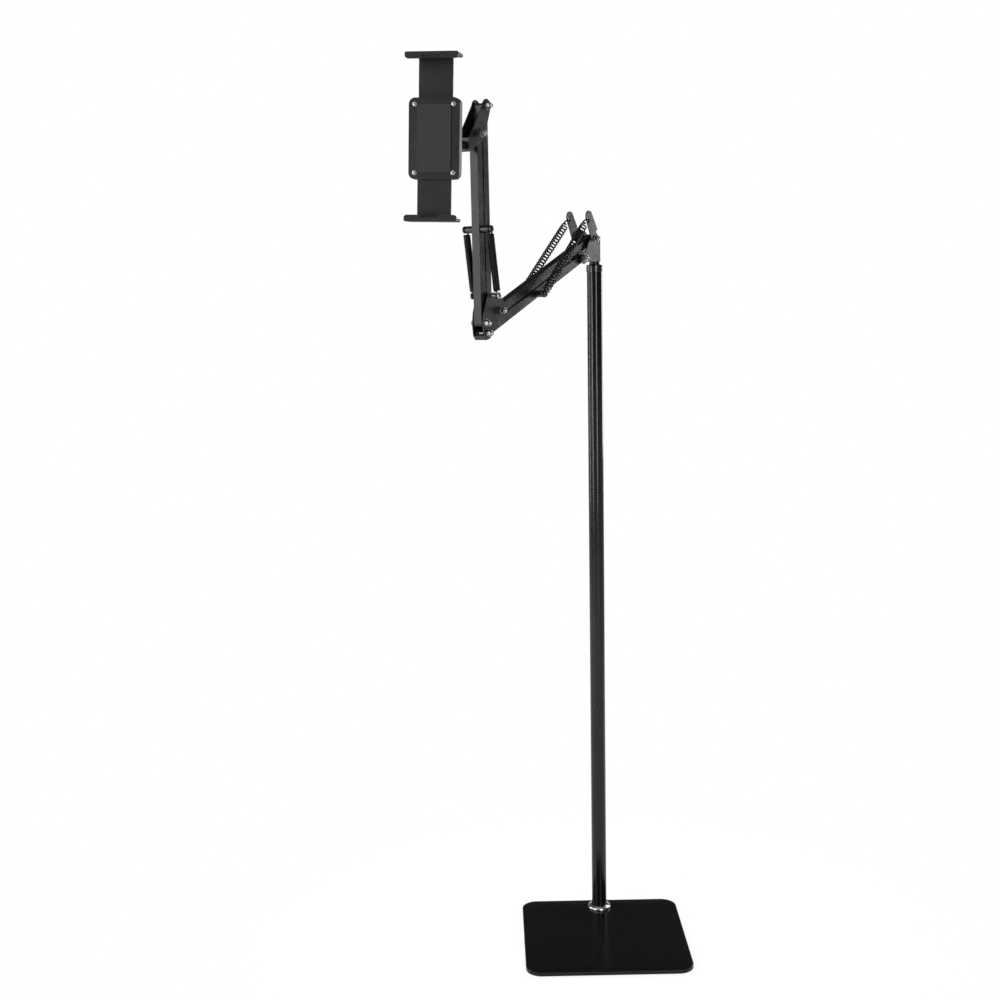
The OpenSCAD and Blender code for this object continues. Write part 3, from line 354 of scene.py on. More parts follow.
def spring_path(length, turns, coil, rise, first_hook, hook, open_angle, steps):
    """Centre line of a tension spring along z: an open hook round the first place, a half turn out
    to the coil, the turns at an even pitch, a half turn in, the hook round the second place."""
    hook_steps, ease_steps = 18, 12
    a = np.radians(np.linspace(open_angle, 0, hook_steps, endpoint=False))
    first = first_hook * np.stack([-np.sin(a), 0 * a, np.cos(a)], -1)
    share = np.linspace(0, 1, ease_steps, endpoint=False)
    reach = coil * np.sin(share * np.pi / 2)
    out = np.stack([reach * np.cos(share * np.pi), reach * np.sin(share * np.pi),
                    first_hook + rise * share], -1)
    start, finish = first_hook + rise, length - hook - rise
    k = np.linspace(0, turns, int(turns * steps) + 1)
    b = np.pi + TURN * k
    curls = np.stack([coil * np.cos(b), coil * np.sin(b), start + (finish - start) * k / turns], -1)
    share = np.linspace(0, 1, ease_steps)[1:]
    reach = coil * np.cos(share * np.pi / 2)
    end = np.pi + TURN * turns
    back = np.stack([reach * np.cos(end + share * np.pi), reach * np.sin(end + share * np.pi),
                     finish + rise * share], -1)
    c, turn = np.radians(np.linspace(0, open_angle, hook_steps + 1))[1:], end + np.pi
    last = np.stack([-hook * np.sin(c) * np.cos(turn), -hook * np.sin(c) * np.sin(turn),
                     length - hook * np.cos(c)], -1)
    return np.concatenate([first, out, curls, back, last])


def laid_between(path, start, end, turn):
    """Lays a path that runs along z between two points, turned about its own line."""
    run = end - start
    axis = run / np.linalg.norm(run)
    first = np.cross(NEAR, axis)
    first /= np.linalg.norm(first)
    second = np.cross(axis, first)
    c, s = math.cos(turn), math.sin(turn)
    x, y = c * path[:, 0] - s * path[:, 1], s * path[:, 0] + c * path[:, 1]
    return start + x[:, None] * first + y[:, None] * second + path[:, 2:] * axis


# ---------------------------------------------------------------- materials


def linear(colour):
    """sRGB hex to the linear colour that the shader takes."""
    parts = [int(colour[i:i + 2], 16) / 255 for i in (0, 2, 4)]
    return tuple(p / 12.92 if p <= 0.04045 else ((p + 0.055) / 1.055) ** 2.4
                 for p in parts) + (1.0,)


def add(tree, kind, links=None, **settings):
    """Adds a node, sets its fields or input values, and links its inputs to other nodes' outputs.
    Two underscores in a name stand for a space."""
    node = tree.nodes.new(kind)
    for name, value in settings.items():
        if hasattr(node, name):
            setattr(node, name, value)
        else:
            node.inputs[name.replace("__", " ")].default_value = value
    for name, (source, output) in (links or {}).items():
        tree.links.new(source.outputs[output], node.inputs[name])
    return node


# Inputs and output of the mix node that carry a colour, and those that carry a number
COLOUR_A, COLOUR_B, COLOUR_OUT = 6, 7, 2
NUMBER_A, NUMBER_B, NUMBER_OUT = 2, 3, 0

PATCH_GRAINS = 14          # size of the colour patches, in grains
FILM_SCALE = 22.0          # smears of some centimetres
EDGE_FROM, EDGE_TO = 0.53, 0.62


def coating(name, colour, worn, grain_mm, grain_depth, roughness, wear, mottle, smear,
            metallic=0.0, ior=1.5, specular=0.5):
    """One surface finish. Three patterns on Object coordinates: grain (bump and a little roughness)
    at grain_mm, mottle (colour) at a dozen grains, and smear (roughness) at some centimetres; edges
    turn to the worn colour."""
    material = bpy.data.materials.new(name)
    material.use_nodes = True
    tree = material.node_tree
    tree.nodes.clear()
    place = add(tree, "ShaderNodeTexCoord")
    grain = add(tree, "ShaderNodeTexNoise", {"Vector": (place, "Object")},
                Scale=1 / (grain_mm * MM), Detail=3.0, Roughness=0.55)
    patches = add(tree, "ShaderNodeTexNoise", {"Vector": (place, "Object")},
                  Scale=1 / (grain_mm * PATCH_GRAINS * MM), Detail=4.0)
    film = add(tree, "ShaderNodeTexNoise", {"Vector": (place, "Object")}, Scale=FILM_SCALE,
               Detail=5.0, Distortion=0.6)
    base = linear(colour)
    tone = add(tree, "ShaderNodeMix", {"Factor": (patches, "Fac")}, data_type="RGBA")
    tone.inputs[COLOUR_A].default_value = tuple(c * (1 - mottle) for c in base[:3]) + (1.0,)
    tone.inputs[COLOUR_B].default_value = tuple(c * (1 + mottle) for c in base[:3]) + (1.0,)
    shape = add(tree, "ShaderNodeNewGeometry")
    edge = add(tree, "ShaderNodeMapRange", {"Value": (shape, "Pointiness")}, From__Min=EDGE_FROM,
               From__Max=EDGE_TO, To__Min=0.0, To__Max=wear)
    broken = add(tree, "ShaderNodeMath", {0: (edge, "Result"), 1: (patches, "Fac")},
                 operation="MULTIPLY", use_clamp=True)
    worn_tone = add(tree, "ShaderNodeMix", {"Factor": (broken, "Value")}, data_type="RGBA")
    tree.links.new(tone.outputs[COLOUR_OUT], worn_tone.inputs[COLOUR_A])
    worn_tone.inputs[COLOUR_B].default_value = linear(worn)
    level = add(tree, "ShaderNodeMapRange", {"Value": (film, "Fac")}, From__Min=0.3, From__Max=0.7,
                To__Min=roughness - smear, To__Max=roughness + smear)
    fine = add(tree, "ShaderNodeMath", {0: (grain, "Fac"), 2: (level, "Result")},
               operation="MULTIPLY_ADD", use_clamp=True)
    fine.inputs[1].default_value = smear * 0.5
    bump = add(tree, "ShaderNodeBump", {"Height": (grain, "Fac")}, Strength=1.0,
               Distance=grain_depth * MM)
    shader = add(tree, "ShaderNodeBsdfPrincipled", {
        "Base Color": (worn_tone, COLOUR_OUT), "Roughness": (fine, "Value"),
        "Normal": (bump, "Normal")}, Metallic=metallic, IOR=ior)
    shader.inputs["Specular IOR Level"].default_value = specular
    add(tree, "ShaderNodeOutputMaterial", {"Surface": (shader, "BSDF")})
    return material


# Polyester powder coat on steel plate: smooth with a little orange peel, glossy, almost black
BASE_COAT = coating("powder_coat_plate", "09090a", "363636", 1.1, 0.0015, 0.19, specular=0.22,
                    wear=0.7, mottle=0.08, smear=0.04)
# The same coat on tube: still smoother, so that it draws long highlights
TUBE_COAT = coating("powder_coat_tube", "0a0a0b", "303030", 0.9, 0.0003, 0.16, specular=0.3,
                    wear=0.3, mottle=0.04, smear=0.015)
# The same coat on square tube and stamped plates: satin, hardly rubbed along the edges
BAR_COAT = coating("powder_coat_bars", "080809", "404040", 0.9, 0.002, 0.26, specular=0.4,
                   wear=0.05, mottle=0.08, smear=0.05)
# Zinc plated screws and nuts, dulled by handling
ZINC = coating("zinc_plated_steel", "8f9194", "c4c5c8", 0.5, 0.002, 0.34, metallic=1.0, wear=0.6,
               mottle=0.10, smear=0.07)
# Chrome plated collar, polished
CHROME = coating("polished_chrome_plate", "cccdd1", "dcdde0", 0.6, 0.0005, 0.27, metallic=1.0,
                 wear=0.2, mottle=0.03, smear=0.03)
# Glass filled nylon from a textured mould: even fine grain, no gloss
NYLON = coating("moulded_nylon", "0a0a0a", "242424", 0.5, 0.004, 0.40, ior=1.53, specular=0.3,
                wear=0.6, mottle=0.08, smear=0.05)
# The same nylon from a polished mould, on the cap and the spools
GLOSS_NYLON = coating("polished_nylon", "0e0e0e", "262626", 0.6, 0.001, 0.20, ior=1.53, wear=0.4,
                      mottle=0.06, smear=0.04)
# Silicone rubber pads, moulded: soft, dusty grey black
RUBBER = coating("silicone_rubber", "232324", "343434", 0.6, 0.010, 0.68, ior=1.41, specular=0.3,
                 wear=0.4, mottle=0.12, smear=0.06)
# Black lacquered spring wire: smooth drawn wire with a glossy film
SPRING_WIRE = coating("lacquered_spring_wire", "040405", "262626", 0.7, 0.0005, 0.18, ior=1.52,
                      specular=0.14, wear=0.15, mottle=0.08, smear=0.04)


# ---------------------------------------------------------------- base and pole

# With more rings than this, the innermost points at a corner would lie under 0.35 mm apart, and
# Pointiness, which takes such neighbours for one point, would draw a light streak there
BASE_RINGS = 8
bevel = [(BASE_BEVEL * (1 - math.cos(a)), BASE_BEVEL * (1 - math.sin(a))) for a in QUARTER_ARC]
side_edge = 2.6
base_profile = [(inset, BASE_LOW + rise) for rise, inset in bevel]
base_profile += [(0.0, BASE_LOW + side_edge), (0.0, BASE_TOP - side_edge)]
base_profile += [(inset, BASE_TOP - drop) for inset, drop in bevel]
base_plate = slab(BASE_SIDE / 2, BASE_SIDE / 2, BASE_CORNER, base_profile, BASE_RINGS)
surface("base_plate_shell", [(base_plate, False)], "stand", BASE_COAT,
        ["base_plate"], crease=50)

foot_rows = [(0.0, 0.0), (FOOT_RADIUS - 1.4, 0.0), (FOOT_RADIUS - 0.4, 0.25), (FOOT_RADIUS, 0.7),
             (FOOT_RADIUS, BASE_LOW), (0.0, BASE_LOW)]
feet = [(turned(foot_rows, (x * FOOT_REACH, y * FOOT_REACH, 0), UP), False)
        for x, y in [(0, 0), (1, 1), (-1, 1), (-1, -1), (1, -1)]]
surface("foot_pads", feet, "stand", RUBBER, ["rubber_feet"])

# Collar: (radius, height) from the bore along the underside, over the round shoulder to the lip
collar_rows = [(COLLAR_BORE, 0.0), (COLLAR_RADIUS - 0.4, 0.0), (COLLAR_RADIUS, 0.4),
               (COLLAR_RADIUS, 1.5)]
collar_rows += [(15.0 + 3.4 * math.cos(a), 1.7 + 2.7 * math.sin(a))
                for a in np.linspace(0.1, 1.35, 9)]
collar_rows += [(15.2, 4.6), (14.6, 5.0), (13.4, 5.4), (12.4, 5.5), (COLLAR_BORE, 5.2)]
surface("foot_collar", [(turned(collar_rows, on_pole(BASE_TOP), UP, 96), True)], "stand", CHROME,
        ["pole_collar"], crease=60)

# Pole: both ends of a tube are broken by rows of (inset, height); their crease stays sharp, so that
# the long faces keep their own highlights
TUBE_END = [(0.35, 0.0), (0.1, 0.12), (0.0, 0.5)]
for index, node in enumerate(["pole_lower", "pole_middle", "pole_upper"]):
    levels = np.linspace(TUBE_END[-1][1], SECTION - TUBE_END[-1][1], 12)
    rows = [(POLE_RADIUS - POLE_WALL, 0.0)]
    rows += [(POLE_RADIUS - inset, height) for inset, height in TUBE_END]
    rows += [(POLE_RADIUS, height) for height in levels[1:-1]]
    rows += [(POLE_RADIUS - inset, SECTION - height) for inset, height in reversed(TUBE_END)]
    rows += [(POLE_RADIUS - POLE_WALL, SECTION)]
    tube = turned(rows, on_pole(BASE_TOP + index * SECTION), UP, 96)
    surface(node + "_tube", [(tube, True)], "stand", TUBE_COAT, [node],
            crease=8)

# Cap: heights count from the pole's top
cap_inner = POLE_RADIUS + CAP_GAP
cap_rows = [(cap_inner, -CAP_SKIRT), (CAP_RADIUS - 0.3, -CAP_SKIRT), (CAP_RADIUS, 0.3 - CAP_SKIRT),
            (CAP_RADIUS, 0.2)]
cap_rows += [(CAP_RADIUS - CAP_ROUND * (1 - math.cos(a)),
              CAP_HEIGHT - CAP_ROUND * (1 - math.sin(a))) for a in QUARTER_ARC]
cap_rows += [(7.0, CAP_HEIGHT), (CAP_BORE + 0.25, CAP_HEIGHT), (CAP_BORE, CAP_HEIGHT - 0.3),
             (CAP_BORE, 0.35), (cap_inner, 0.3)]
cap = turned(cap_rows, on_pole(POLE_TOP), UP, 96)
surface("pole_cap_shell", [(cap, True)], "stand", GLOSS_NYLON, ["pole_cap"])
turning_washer = washer(on_pole(POLE_TOP + CAP_HEIGHT), UP, TURNING_RADIUS, TURNING_THICKNESS,
                        TURNING_BORE)
surface("turning_washer", [turning_washer], "stand", NYLON, ["swivel_washer"])

post_top = WEB_BOTTOM + 2
post_rows = [(0.0, POLE_TOP - POST_DEPTH), (POST_RADIUS, POLE_TOP - POST_DEPTH),
             (POST_RADIUS, POLE_TOP + POST_REST), (POST_FLANGE - 0.4, POLE_TOP + POST_REST),
             (POST_FLANGE, POLE_TOP + POST_REST + 0.35), (POST_FLANGE, WEB_BOTTOM - 0.4),
             (POST_FLANGE - 0.4, WEB_BOTTOM), (POST_THREAD, WEB_BOTTOM), (POST_THREAD, post_top),
             (0.0, post_top)]
post = [(turned(post_rows, POLE_FOOT, UP), False),
        thread(on_pole(post_top - 0.1), UP, POST_THREAD, POST_END, POST_PITCH)]
surface("swivel_post_turned", post, "head", BAR_COAT, ["swivel_post"])
post_nut = nut(on_pole(WEB_BOTTOM + WEB_THICKNESS), UP, POST_NUT_RADIUS, POST_NUT_HEIGHT,
               POST_THREAD + 0.1)
surface("post_hexagon_nut", [post_nut], "head", ZINC, ["post_nut"])

# ---------------------------------------------------------------- brackets, bars, their fasteners

for node, body in [("head_bracket", "head"), ("elbow_bracket", "elbow"), ("top_bracket", "tip")]:
    softened(node + "_plates", node, body, BAR_COAT, PLATE_EDGE, 2)
for node, body in [("lower_top_bar", "lower_arm_top"), ("lower_bottom_bar", "lower_arm_bottom"),
                   ("upper_front_bar", "upper_arm_front"), ("upper_rear_bar", "upper_arm_rear")]:
    softened(node + "_tube", node, body, BAR_COAT, BAR_EDGE, 3)


def pivot_fasteners(prefix, body, places, spaced):
    """Bolts, nuts, washers and spacers of one bracket: heads on the far side, nuts and thread ends
    on the near side."""
    outer = PLATE_OUTER + WASHER_THICKNESS
    bolts, nuts, washers, spacers = [], [], [], []
    for place in places:
        bolts.append(shank(on_arm(place), NEAR, -outer, outer + 0.2))
        bolts.append(thread(on_arm(place, outer), NEAR, BOLT_RADIUS, NUT_HEIGHT + BOLT_END))
        bolts.append(button_head(on_arm(place, -outer), -NEAR))
        nuts.append(nut(on_arm(place, outer), NEAR, NUT_RADIUS, NUT_HEIGHT, BOLT_RADIUS + NUT_PLAY))
        for side in (1, -1):
            washers.append(washer(on_arm(place, side * PLATE_OUTER), side * NEAR, WASHER_RADIUS,
                                  WASHER_THICKNESS, BOLT_RADIUS + WASHER_PLAY))
    for place in spaced:
        for side in (1, -1):
            spacers.append(washer(on_arm(place, side * (BAR_HALF + BAR_PLAY)), side * NEAR,
                                  WASHER_RADIUS, SPACER_THICKNESS, BOLT_RADIUS + WASHER_PLAY))
    surface(prefix + "_bolt_set", bolts, body, ZINC, [prefix + "_bolts"])
    surface(prefix + "_nut_set", nuts, body, ZINC, [prefix + "_nuts"])
    surface(prefix + "_washer_set", washers, body, ZINC, [prefix + "_washers"])
    surface(prefix + "_spacer_set", spacers, body, NYLON, [prefix + "_spacers"])


pivot_fasteners("head", "head", [HEAD_TOP, HEAD_LOW], [HEAD_TOP, HEAD_LOW])
pivot_fasteners("elbow", "elbow", [ELBOW_TOP, ELBOW_LOW, ELBOW_FRONT],
                [ELBOW_TOP, ELBOW_LOW, ELBOW_FRONT, ELBOW_REAR])
pivot_fasteners("top", "tip", [TIP_FRONT, TIP_REAR], [TIP_FRONT, TIP_REAR])

# The long rod is the rear bar's pivot and carries the upper springs' lower hooks
long_bolt = [shank(on_arm(ELBOW_REAR), NEAR, -ROD_HALF, ROD_HALF)]
for side in (1, -1):
    long_bolt.append(button_head(on_arm(ELBOW_REAR, side * (ROD_HALF - 1.0)), side * NEAR))
surface("elbow_spring_rod", long_bolt, "elbow", ZINC, ["elbow_spring_bolt"])

# ---------------------------------------------------------------- spring pins, spools and springs


def spring_bar(prefix, body, place):
    """Steel pin through the arm bar with a grooved, round-nosed spool on each end."""
    surface(prefix + "_pin_rod", [shank(on_arm(place), NEAR, -PIN_HALF, PIN_HALF, PIN_RADIUS, 32)],
            body, ZINC, [prefix + "_pin"])
    low, edge = BAR_HALF + BAR_PLAY, 0.3
    groove_low, groove_high = HOOK_SIDE - GROOVE_HALF, HOOK_SIDE + GROOVE_HALF
    rows = [(0.0, SPOOL_END - 1.0), (SPOOL_BORE, SPOOL_END - 1.0), (SPOOL_BORE, low),
            (SPOOL_RADIUS - edge, low), (SPOOL_RADIUS, low + edge),
            (SPOOL_RADIUS, groove_low - edge), (SPOOL_RADIUS - edge, groove_low),
            (GROOVE_RADIUS + 0.2, groove_low + 0.1),
            (GROOVE_RADIUS, groove_low + 0.5), (GROOVE_RADIUS, groove_high - 0.5),
            (GROOVE_RADIUS + 0.2, groove_high - 0.1), (SPOOL_RADIUS - edge, groove_high),
            (SPOOL_RADIUS, groove_high + 0.25)]
    rows += [(SPOOL_RADIUS - SPOOL_NOSE * (1 - math.cos(a)),
              SPOOL_END - SPOOL_NOSE * (1 - math.sin(a))) for a in np.linspace(0, np.pi / 2, 8)]
    rows += [(0.0, SPOOL_END)]
    spools = [(turned(rows, on_arm(place), side * NEAR, 48), False) for side in (1, -1)]
    surface(prefix + "_spool_set", spools, body, GLOSS_NYLON, [prefix + "_spools"])


spring_bar("lower_spring", "lower_arm_bottom", LOWER_ANCHOR)
spring_bar("upper_spring", "upper_arm_front", UPPER_ANCHOR)

# Turns, coil radius, length of each end, hook's open angle and points in a turn; the wire's radius
# and sides. The wires are a little fuller than the solids, as the photograph shows them
LOWER_TURNS, LOWER_COIL, LOWER_RISE, LOWER_OPEN, LOWER_STEPS = 24.25, 4.8, 5.2, 320, 22
UPPER_TURNS, UPPER_COIL, UPPER_RISE, UPPER_OPEN, UPPER_STEPS = 60, 4.1, 3.0, 290, 16
LOWER_WIRE, LOWER_WIRE_SIDES = 1.18, 12
UPPER_WIRE, UPPER_WIRE_SIDES = 0.84, 10

# The lower springs run straight from the ears to the lower pin, and the upper ones from the upper
# pin to the elbow's rod, one on the near and one on the far side; they ride on no body, and their
# points stay where they are laid
for side, word in ((1, "near"), (-1, "far")):
    start = on_arm(EAR_HOOK, side * EAR_HOOK_SIDE)
    end = on_arm(LOWER_ANCHOR, side * HOOK_SIDE)
    path = spring_path(np.linalg.norm(end - start), LOWER_TURNS, LOWER_COIL, LOWER_RISE,
                       EAR_HOOK_RADIUS, HOOK_RADIUS, LOWER_OPEN, LOWER_STEPS)
    wire = wound(laid_between(path, start, end, math.radians(90)), LOWER_WIRE, LOWER_WIRE_SIDES)
    spring = surface(f"lower_spring_{word}_coil", [wire], None, SPRING_WIRE,
                     [f"lower_spring_{word}"], crease=60)
    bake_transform(spring)

    start = on_arm(UPPER_ANCHOR, side * HOOK_SIDE)
    end = on_arm(ELBOW_HOOK, side * HOOK_SIDE)
    path = spring_path(np.linalg.norm(end - start), UPPER_TURNS, UPPER_COIL, UPPER_RISE,
                       HOOK_RADIUS, HOOK_RADIUS, UPPER_OPEN, UPPER_STEPS)
    wire = wound(laid_between(path, start, end, 0.0), UPPER_WIRE, UPPER_WIRE_SIDES)
    spring = surface(f"upper_spring_{word}_coil", [wire], None, SPRING_WIRE,
                     [f"upper_spring_{word}"], crease=60)
    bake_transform(spring)

# ---------------------------------------------------------------- stem, knuckle and holder

softened("holder_stem_rod", "holder_stem", "tip", BAR_COAT, STEM_EDGE, 2)
stem_nut = nut(on_arm((TOP_WEB, PAN[1])), -FORWARD, NUT_RADIUS, NUT_HEIGHT,
               BOLT_RADIUS + NUT_PLAY)
surface("stem_hexagon_nut", [stem_nut], "tip", ZINC, ["stem_nut"])
softened("pan_knuckle_block", "pan_knuckle", "pan_joint", NYLON, BLOCK_EDGE, 3)
softened("swivel_plate_fork", "swivel_plate", "tilt_joint", NYLON, BLOCK_EDGE, 3)

pan_end, pan_nut_bore = 4.5, 2.0
pan_end_rows = [(0.0, 0.0), (BOLT_RADIUS - 0.1, 0.0), (BOLT_RADIUS - 0.1, pan_end - 0.3),
                (BOLT_RADIUS - 0.4, pan_end), (0.0, pan_end)]
pan_bolt = [shank(on_holder(0), UP, -FORK_HALF, FORK_HALF),
            button_head(on_holder(0, 0, FORK_HALF), UP),
            nut(on_holder(0, 0, -FORK_HALF), -UP, NUT_RADIUS, NUT_HEIGHT, pan_nut_bore),
            (turned(pan_end_rows, on_holder(0, 0, -FORK_HALF), -UP, 36), False)]
surface("pan_bolt_set", pan_bolt, "pan_joint", ZINC, ["pan_bolt"])
tilt_bolt = [shank(on_holder(TILT_OFFSET), LATERAL, -FORK_HALF, FORK_HALF + TILT_THREAD),
             button_head(on_holder(TILT_OFFSET, -FORK_HALF), -LATERAL)]
surface("tilt_bolt_set", tilt_bolt, "tilt_joint", ZINC, ["tilt_bolt"])

# Knob: radius = scallop(angle) times the row's radius, scallop = 1 - 0.13 (0.5 + 0.5 cos 8 a)^2.2;
# the rows run from the bore's mouth over the neck and the grip to the dished top and the blind hole
KNOB_BORE, KNOB_NECK, KNOB_RADIUS, KNOB_ROUND = 2.56, 5.4, 9.0, 1.4
KNOB_LOBES, LOBE_DEPTH, LOBE_POWER, KNOB_SIDES = 8, 0.13, 2.2, 128
scallop = 1 - LOBE_DEPTH * (0.5 + 0.5 * np.cos(KNOB_LOBES * around(KNOB_SIDES))) ** LOBE_POWER
knob_rows = [(KNOB_BORE, 0.15), (KNOB_NECK - 0.4, 0.15), (KNOB_NECK, 0.5), (KNOB_NECK, 3.2),
             (scallop * (KNOB_RADIUS - 0.8), 3.7), (scallop * (KNOB_RADIUS - 0.2), 4.3)]
knob_rows += [(scallop * KNOB_RADIUS, height) for height in (5.2, 7.0, 9.0, 10.2)]
knob_rows += [(scallop * (KNOB_RADIUS - KNOB_ROUND * (1 - math.cos(a))),
               10.6 + KNOB_ROUND * math.sin(a)) for a in QUARTER_ARC]
knob_rows += [(5.6, 12.05), (4.8, 11.5), (0.0, 11.3), (0.0, 8.6), (KNOB_BORE, 8.6)]
knob = turned(knob_rows, on_holder(TILT_OFFSET, FORK_HALF), LATERAL, KNOB_SIDES)
surface("tilt_grip_knob", [(knob, True)], "clamp_knob", NYLON, ["tilt_knob"],
        crease=40)

softened("housing_shell", "holder_housing", "holder", NYLON, SHELL_EDGE, 3)
softened("backrest_plate", "backrest", "holder", NYLON, BLOCK_EDGE, 3)
softened("upper_jaw_shell", "upper_jaw", "clamp_upper", NYLON, SHELL_EDGE, 3)
softened("lower_jaw_shell", "lower_jaw", "clamp_lower", NYLON, SHELL_EDGE, 3)


def ribbed_pad(half_x, half_y, corner, thickness, spacing):
    """Rubber pad: a rounded slab whose upper face carries rounded ribs along its x,
    height = t - g (0.5 + 0.5 cos(2 pi y / spacing))^2; the ribs fade out towards the pad's rim."""
    groove_share, rim, fade_width = 0.4, 0.9, 0.8
    profile = [(0.0, 0.0), (0.0, thickness * 0.35), (0.0, thickness * 0.6),
               (0.12, thickness * 0.85), (0.4, thickness * 0.97), (0.8, thickness)]
    pad = slab(half_x, half_y, corner, profile, 40)
    edge = np.minimum(half_x - np.abs(pad[..., 0]), half_y - np.abs(pad[..., 1]))
    fade = np.clip((edge - rim) / fade_width, 0, 1)
    wave = (0.5 + 0.5 * np.cos(TURN * pad[..., 1] / spacing)) ** 2
    top = pad[..., 2] > thickness * 0.9
    pad[..., 2] -= top * fade * wave * thickness * groove_share
    return pad


back_thickness, back_corner, back_ribs = SLOT_REAR - BACKREST_FRONT, 4.0, 4.0
back_pad = ribbed_pad(TONGUE_WIDTH / 2, HOUSING_HEIGHT / 2 - HOUSING_CORNER, back_corner,
                      back_thickness, back_ribs)
back_pad = set_up(back_pad, on_clamp(BACKREST_FRONT), CLAMP_SIDE, CLAMP_UP, FACING)
surface("backrest_ribbed_pad", [(back_pad, False)], "holder", RUBBER,
        ["backrest_pad"], crease=50)

screw_side, screw_height = HOUSING_WIDTH / 2 - SCREW_INSET, HOUSING_HEIGHT / 2 - SCREW_INSET
screws = [screw_head(on_clamp(BACKREST_FRONT, side * screw_side, height * screw_height), FACING,
                     SCREW_RADIUS, SCREW_HEIGHT) for side in (1, -1) for height in (1, -1)]
surface("housing_cross_screws", screws, "holder", ZINC, ["housing_screws"])

jaw_pad_corner, jaw_ribs = 0.8, 3.0
for sign, word in ((1, "upper"), (-1, "lower")):
    pad = ribbed_pad(JAW_WIDTH / 2 - JAW_CORNER, SLOT_DEPTH / 2, jaw_pad_corner, JAW_PAD, jaw_ribs)
    centre = on_clamp(SLOT_REAR + SLOT_DEPTH / 2, 0, sign * (JAW_GAP / 2 + JAW_PAD))
    pad = set_up(pad, centre, CLAMP_SIDE, FACING, -sign * CLAMP_UP)
    surface(f"{word}_jaw_ribbed_pad", [(pad, False)], f"clamp_{word}", RUBBER,
            [f"{word}_jaw_pad"], crease=50)

# Hidden pieces keep their CAD shape and take their metal
for node in ["base_bolt", "base_washer", "foot_insert", "pole_joiners", "roll_screw"]:
    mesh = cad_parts[node].data
    mesh.materials.clear()
    mesh.materials.append(ZINC)

# ---------------------------------------------------------------- floor and room

# What the camera and mirroring surfaces see of the floor: the camera white away from the stand, and
# the floor's own shade near it; mirrors a small share of white
FLOOR_RADIUS, FLOOR_COLOUR, FLOOR_MIRRORED = 14, "efefef", 0.08
SHADE_FROM, SHADE_TO, SHADE_WHITE = 0.16, 0.60, 0.86


def empty_tree(owner):
    """The cleared node tree of a material or a world."""
    owner.use_nodes = True
    owner.node_tree.nodes.clear()
    return owner.node_tree


def mirrored_rays(tree, seen):
    """1 for rays that a mirroring or clear surface sends on, else 0."""
    return add(tree, "ShaderNodeMath", {0: (seen, "Is Glossy Ray"),
                                        1: (seen, "Is Transmission Ray")}, operation="MAXIMUM")


floor_material = bpy.data.materials.new("pale_studio_floor")
tree = empty_tree(floor_material)
matt = add(tree, "ShaderNodeBsdfDiffuse", Color=linear(FLOOR_COLOUR))
white = add(tree, "ShaderNodeEmission", Strength=1.0)
seen = add(tree, "ShaderNodeLightPath")
spot = add(tree, "ShaderNodeTexCoord")
away = add(tree, "ShaderNodeVectorMath", {0: (spot, "Object")}, operation="LENGTH")
plain = add(tree, "ShaderNodeMapRange", {"Value": (away, "Value")}, From__Min=SHADE_FROM,
            From__Max=SHADE_TO, To__Min=SHADE_WHITE, To__Max=1.0, interpolation_type="SMOOTHSTEP")
part = add(tree, "ShaderNodeMath", {0: (mirrored_rays(tree, seen), "Value")}, operation="MULTIPLY")
part.inputs[1].default_value = FLOOR_MIRRORED
share = add(tree, "ShaderNodeMix", {0: (seen, "Is Camera Ray"), NUMBER_A: (part, "Value"),
                                    NUMBER_B: (plain, "Result")}, data_type="FLOAT")
both = add(tree, "ShaderNodeMixShader", {0: (share, NUMBER_OUT), 1: (matt, "BSDF"),
                                         2: (white, "Emission")})
add(tree, "ShaderNodeOutputMaterial", {"Surface": (both, "Shader")})

rim = around(96)
floor_mesh = bpy.data.meshes.new("studio_floor")
floor_mesh.from_pydata(FLOOR_RADIUS * np.stack([np.cos(rim), np.sin(rim), 0 * rim], -1), [],
                       [list(range(len(rim)))])
floor_mesh.materials.append(floor_material)
floor = bpy.data.objects.new("studio_floor", floor_mesh)
bpy.context.scene.collection.objects.link(floor)

# The room is white to the camera and pale to matt surfaces; mirroring surfaces see it dark, but for
# a low white wall behind the stand, given by the direction's y and z
DULL_LEVEL, ROOM_LEVEL, WALL_LEVEL = 0.58, 0.05, 1.0
WALL_SIDE, WALL_TOP = (0.86, 0.97), (0.10, 0.20)

world = bpy.data.worlds.new("studio_room")
bpy.context.scene.world = world
tree = empty_tree(world)
seen = add(tree, "ShaderNodeLightPath")
direction = add(tree, "ShaderNodeTexCoord")
parts = add(tree, "ShaderNodeSeparateXYZ", {"Vector": (direction, "Generated")})
behind = add(tree, "ShaderNodeMapRange", {"Value": (parts, "Y")}, From__Min=WALL_SIDE[0],
             From__Max=WALL_SIDE[1], To__Min=0.0, To__Max=1.0, interpolation_type="SMOOTHSTEP")
low = add(tree, "ShaderNodeMapRange", {"Value": (parts, "Z")}, From__Min=WALL_TOP[0],
          From__Max=WALL_TOP[1], To__Min=1.0, To__Max=0.0, interpolation_type="SMOOTHSTEP")
wall = add(tree, "ShaderNodeMath", {0: (behind, "Result"), 1: (low, "Result")},
           operation="MULTIPLY")
room = add(tree, "ShaderNodeMapRange", {"Value": (wall, "Value")}, From__Min=0.0, From__Max=1.0,
           To__Min=ROOM_LEVEL, To__Max=WALL_LEVEL)
dull = add(tree, "ShaderNodeMix", {0: (mirrored_rays(tree, seen), "Value"),
                                   NUMBER_B: (room, "Result")}, data_type="FLOAT")
dull.inputs[NUMBER_A].default_value = DULL_LEVEL
level = add(tree, "ShaderNodeMix", {0: (seen, "Is Camera Ray"), NUMBER_A: (dull, NUMBER_OUT)},
            data_type="FLOAT")
level.inputs[NUMBER_B].default_value = 1.0
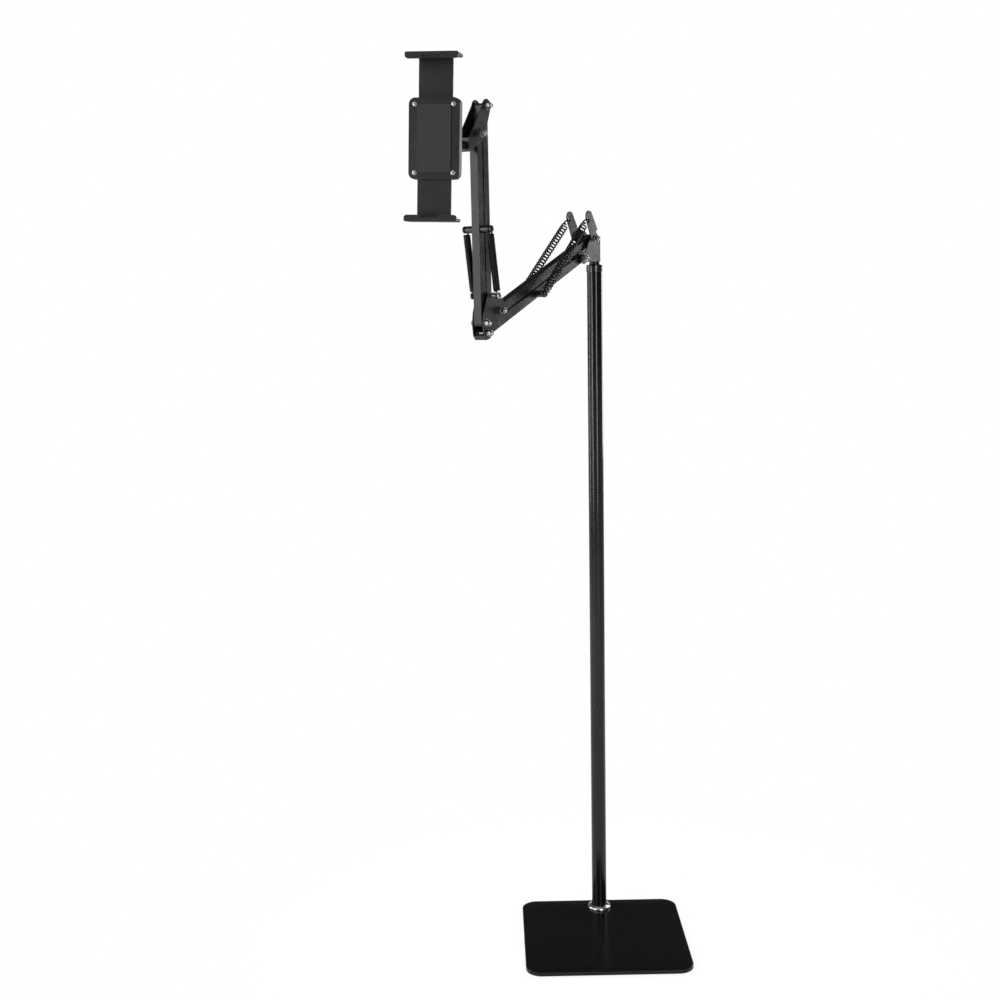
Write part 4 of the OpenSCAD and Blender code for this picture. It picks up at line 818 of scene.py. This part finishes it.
background = add(tree, "ShaderNodeBackground", {"Strength": (level, NUMBER_OUT)},
                 Color=(1, 1, 1, 1))
add(tree, "ShaderNodeOutputWorld", {"Surface": (background, "Background")})

# ---------------------------------------------------------------- lamps and camera

# Soft boxes: place, aim, width and height in metres, and power in watts
SOFT_BOXES = {
    "left_strip": ((-1.95, -1.75, 1.35), (-0.1, 0.0, 0.95), (0.22, 2.2), 34),
    "right_strip": ((0.95, -2.75, 1.35), (-0.1, 0.0, 0.95), (0.26, 2.2), 40),
    "edge_strip": ((-2.6, 0.55, 1.35), (-0.1, 0.0, 0.95), (0.20, 2.2), 30),
    "top_box": ((-0.5, -0.6, 3.2), (-0.1, -0.1, 0.6), (2.4, 2.4), 16),
    "side_box": ((1.35, 1.25, 1.15), (-0.02, 0.05, 1.0), (0.40, 1.2), 19),
    "left_box": ((-2.5, -1.15, 1.3), (-0.15, -0.1, 1.0), (0.6, 1.7), 12),
}
for name, (place, target, size, power) in SOFT_BOXES.items():
    lamp = bpy.data.lights.new(name, "AREA")
    lamp.shape, lamp.size, lamp.size_y, lamp.energy = "RECTANGLE", size[0], size[1], power
    fixture = bpy.data.objects.new(name, lamp)
    fixture.location = place
    aim = Vector(target) - Vector(place)
    fixture.rotation_euler = aim.to_track_quat("-Z", "Y").to_euler()
    bpy.context.scene.collection.objects.link(fixture)

# The photograph's camera, as fitted to the base plate's corners and the pole
CAMERA_PLACE = (-0.1641, -2.0999, 0.9988)
SENSOR_WIDTH, FOCAL_LENGTH = 36.0, 51.217
YAW, PITCH, ROLL = (math.radians(a) for a in (0.357, 8.238, 0.989))

ahead = np.array([math.sin(YAW) * math.cos(PITCH), math.cos(YAW) * math.cos(PITCH),
                  -math.sin(PITCH)])
right = np.array([math.cos(YAW), -math.sin(YAW), 0.0])
down = np.cross(ahead, right)
image_right = math.cos(ROLL) * right + math.sin(ROLL) * down
image_down = -math.sin(ROLL) * right + math.cos(ROLL) * down
camera = bpy.data.objects.new("photo_camera", bpy.data.cameras.new("photo_camera"))
camera.data.sensor_width, camera.data.lens = SENSOR_WIDTH, FOCAL_LENGTH
camera.data.clip_start, camera.data.clip_end = 0.05, 100.0
camera.matrix_world = Matrix([(image_right[i], -image_down[i], -ahead[i], CAMERA_PLACE[i])
                              for i in range(3)] + [(0, 0, 0, 1)])
bpy.context.scene.collection.objects.link(camera)
bpy.context.scene.camera = camera
bpy.context.scene.view_settings.view_transform = "Standard"
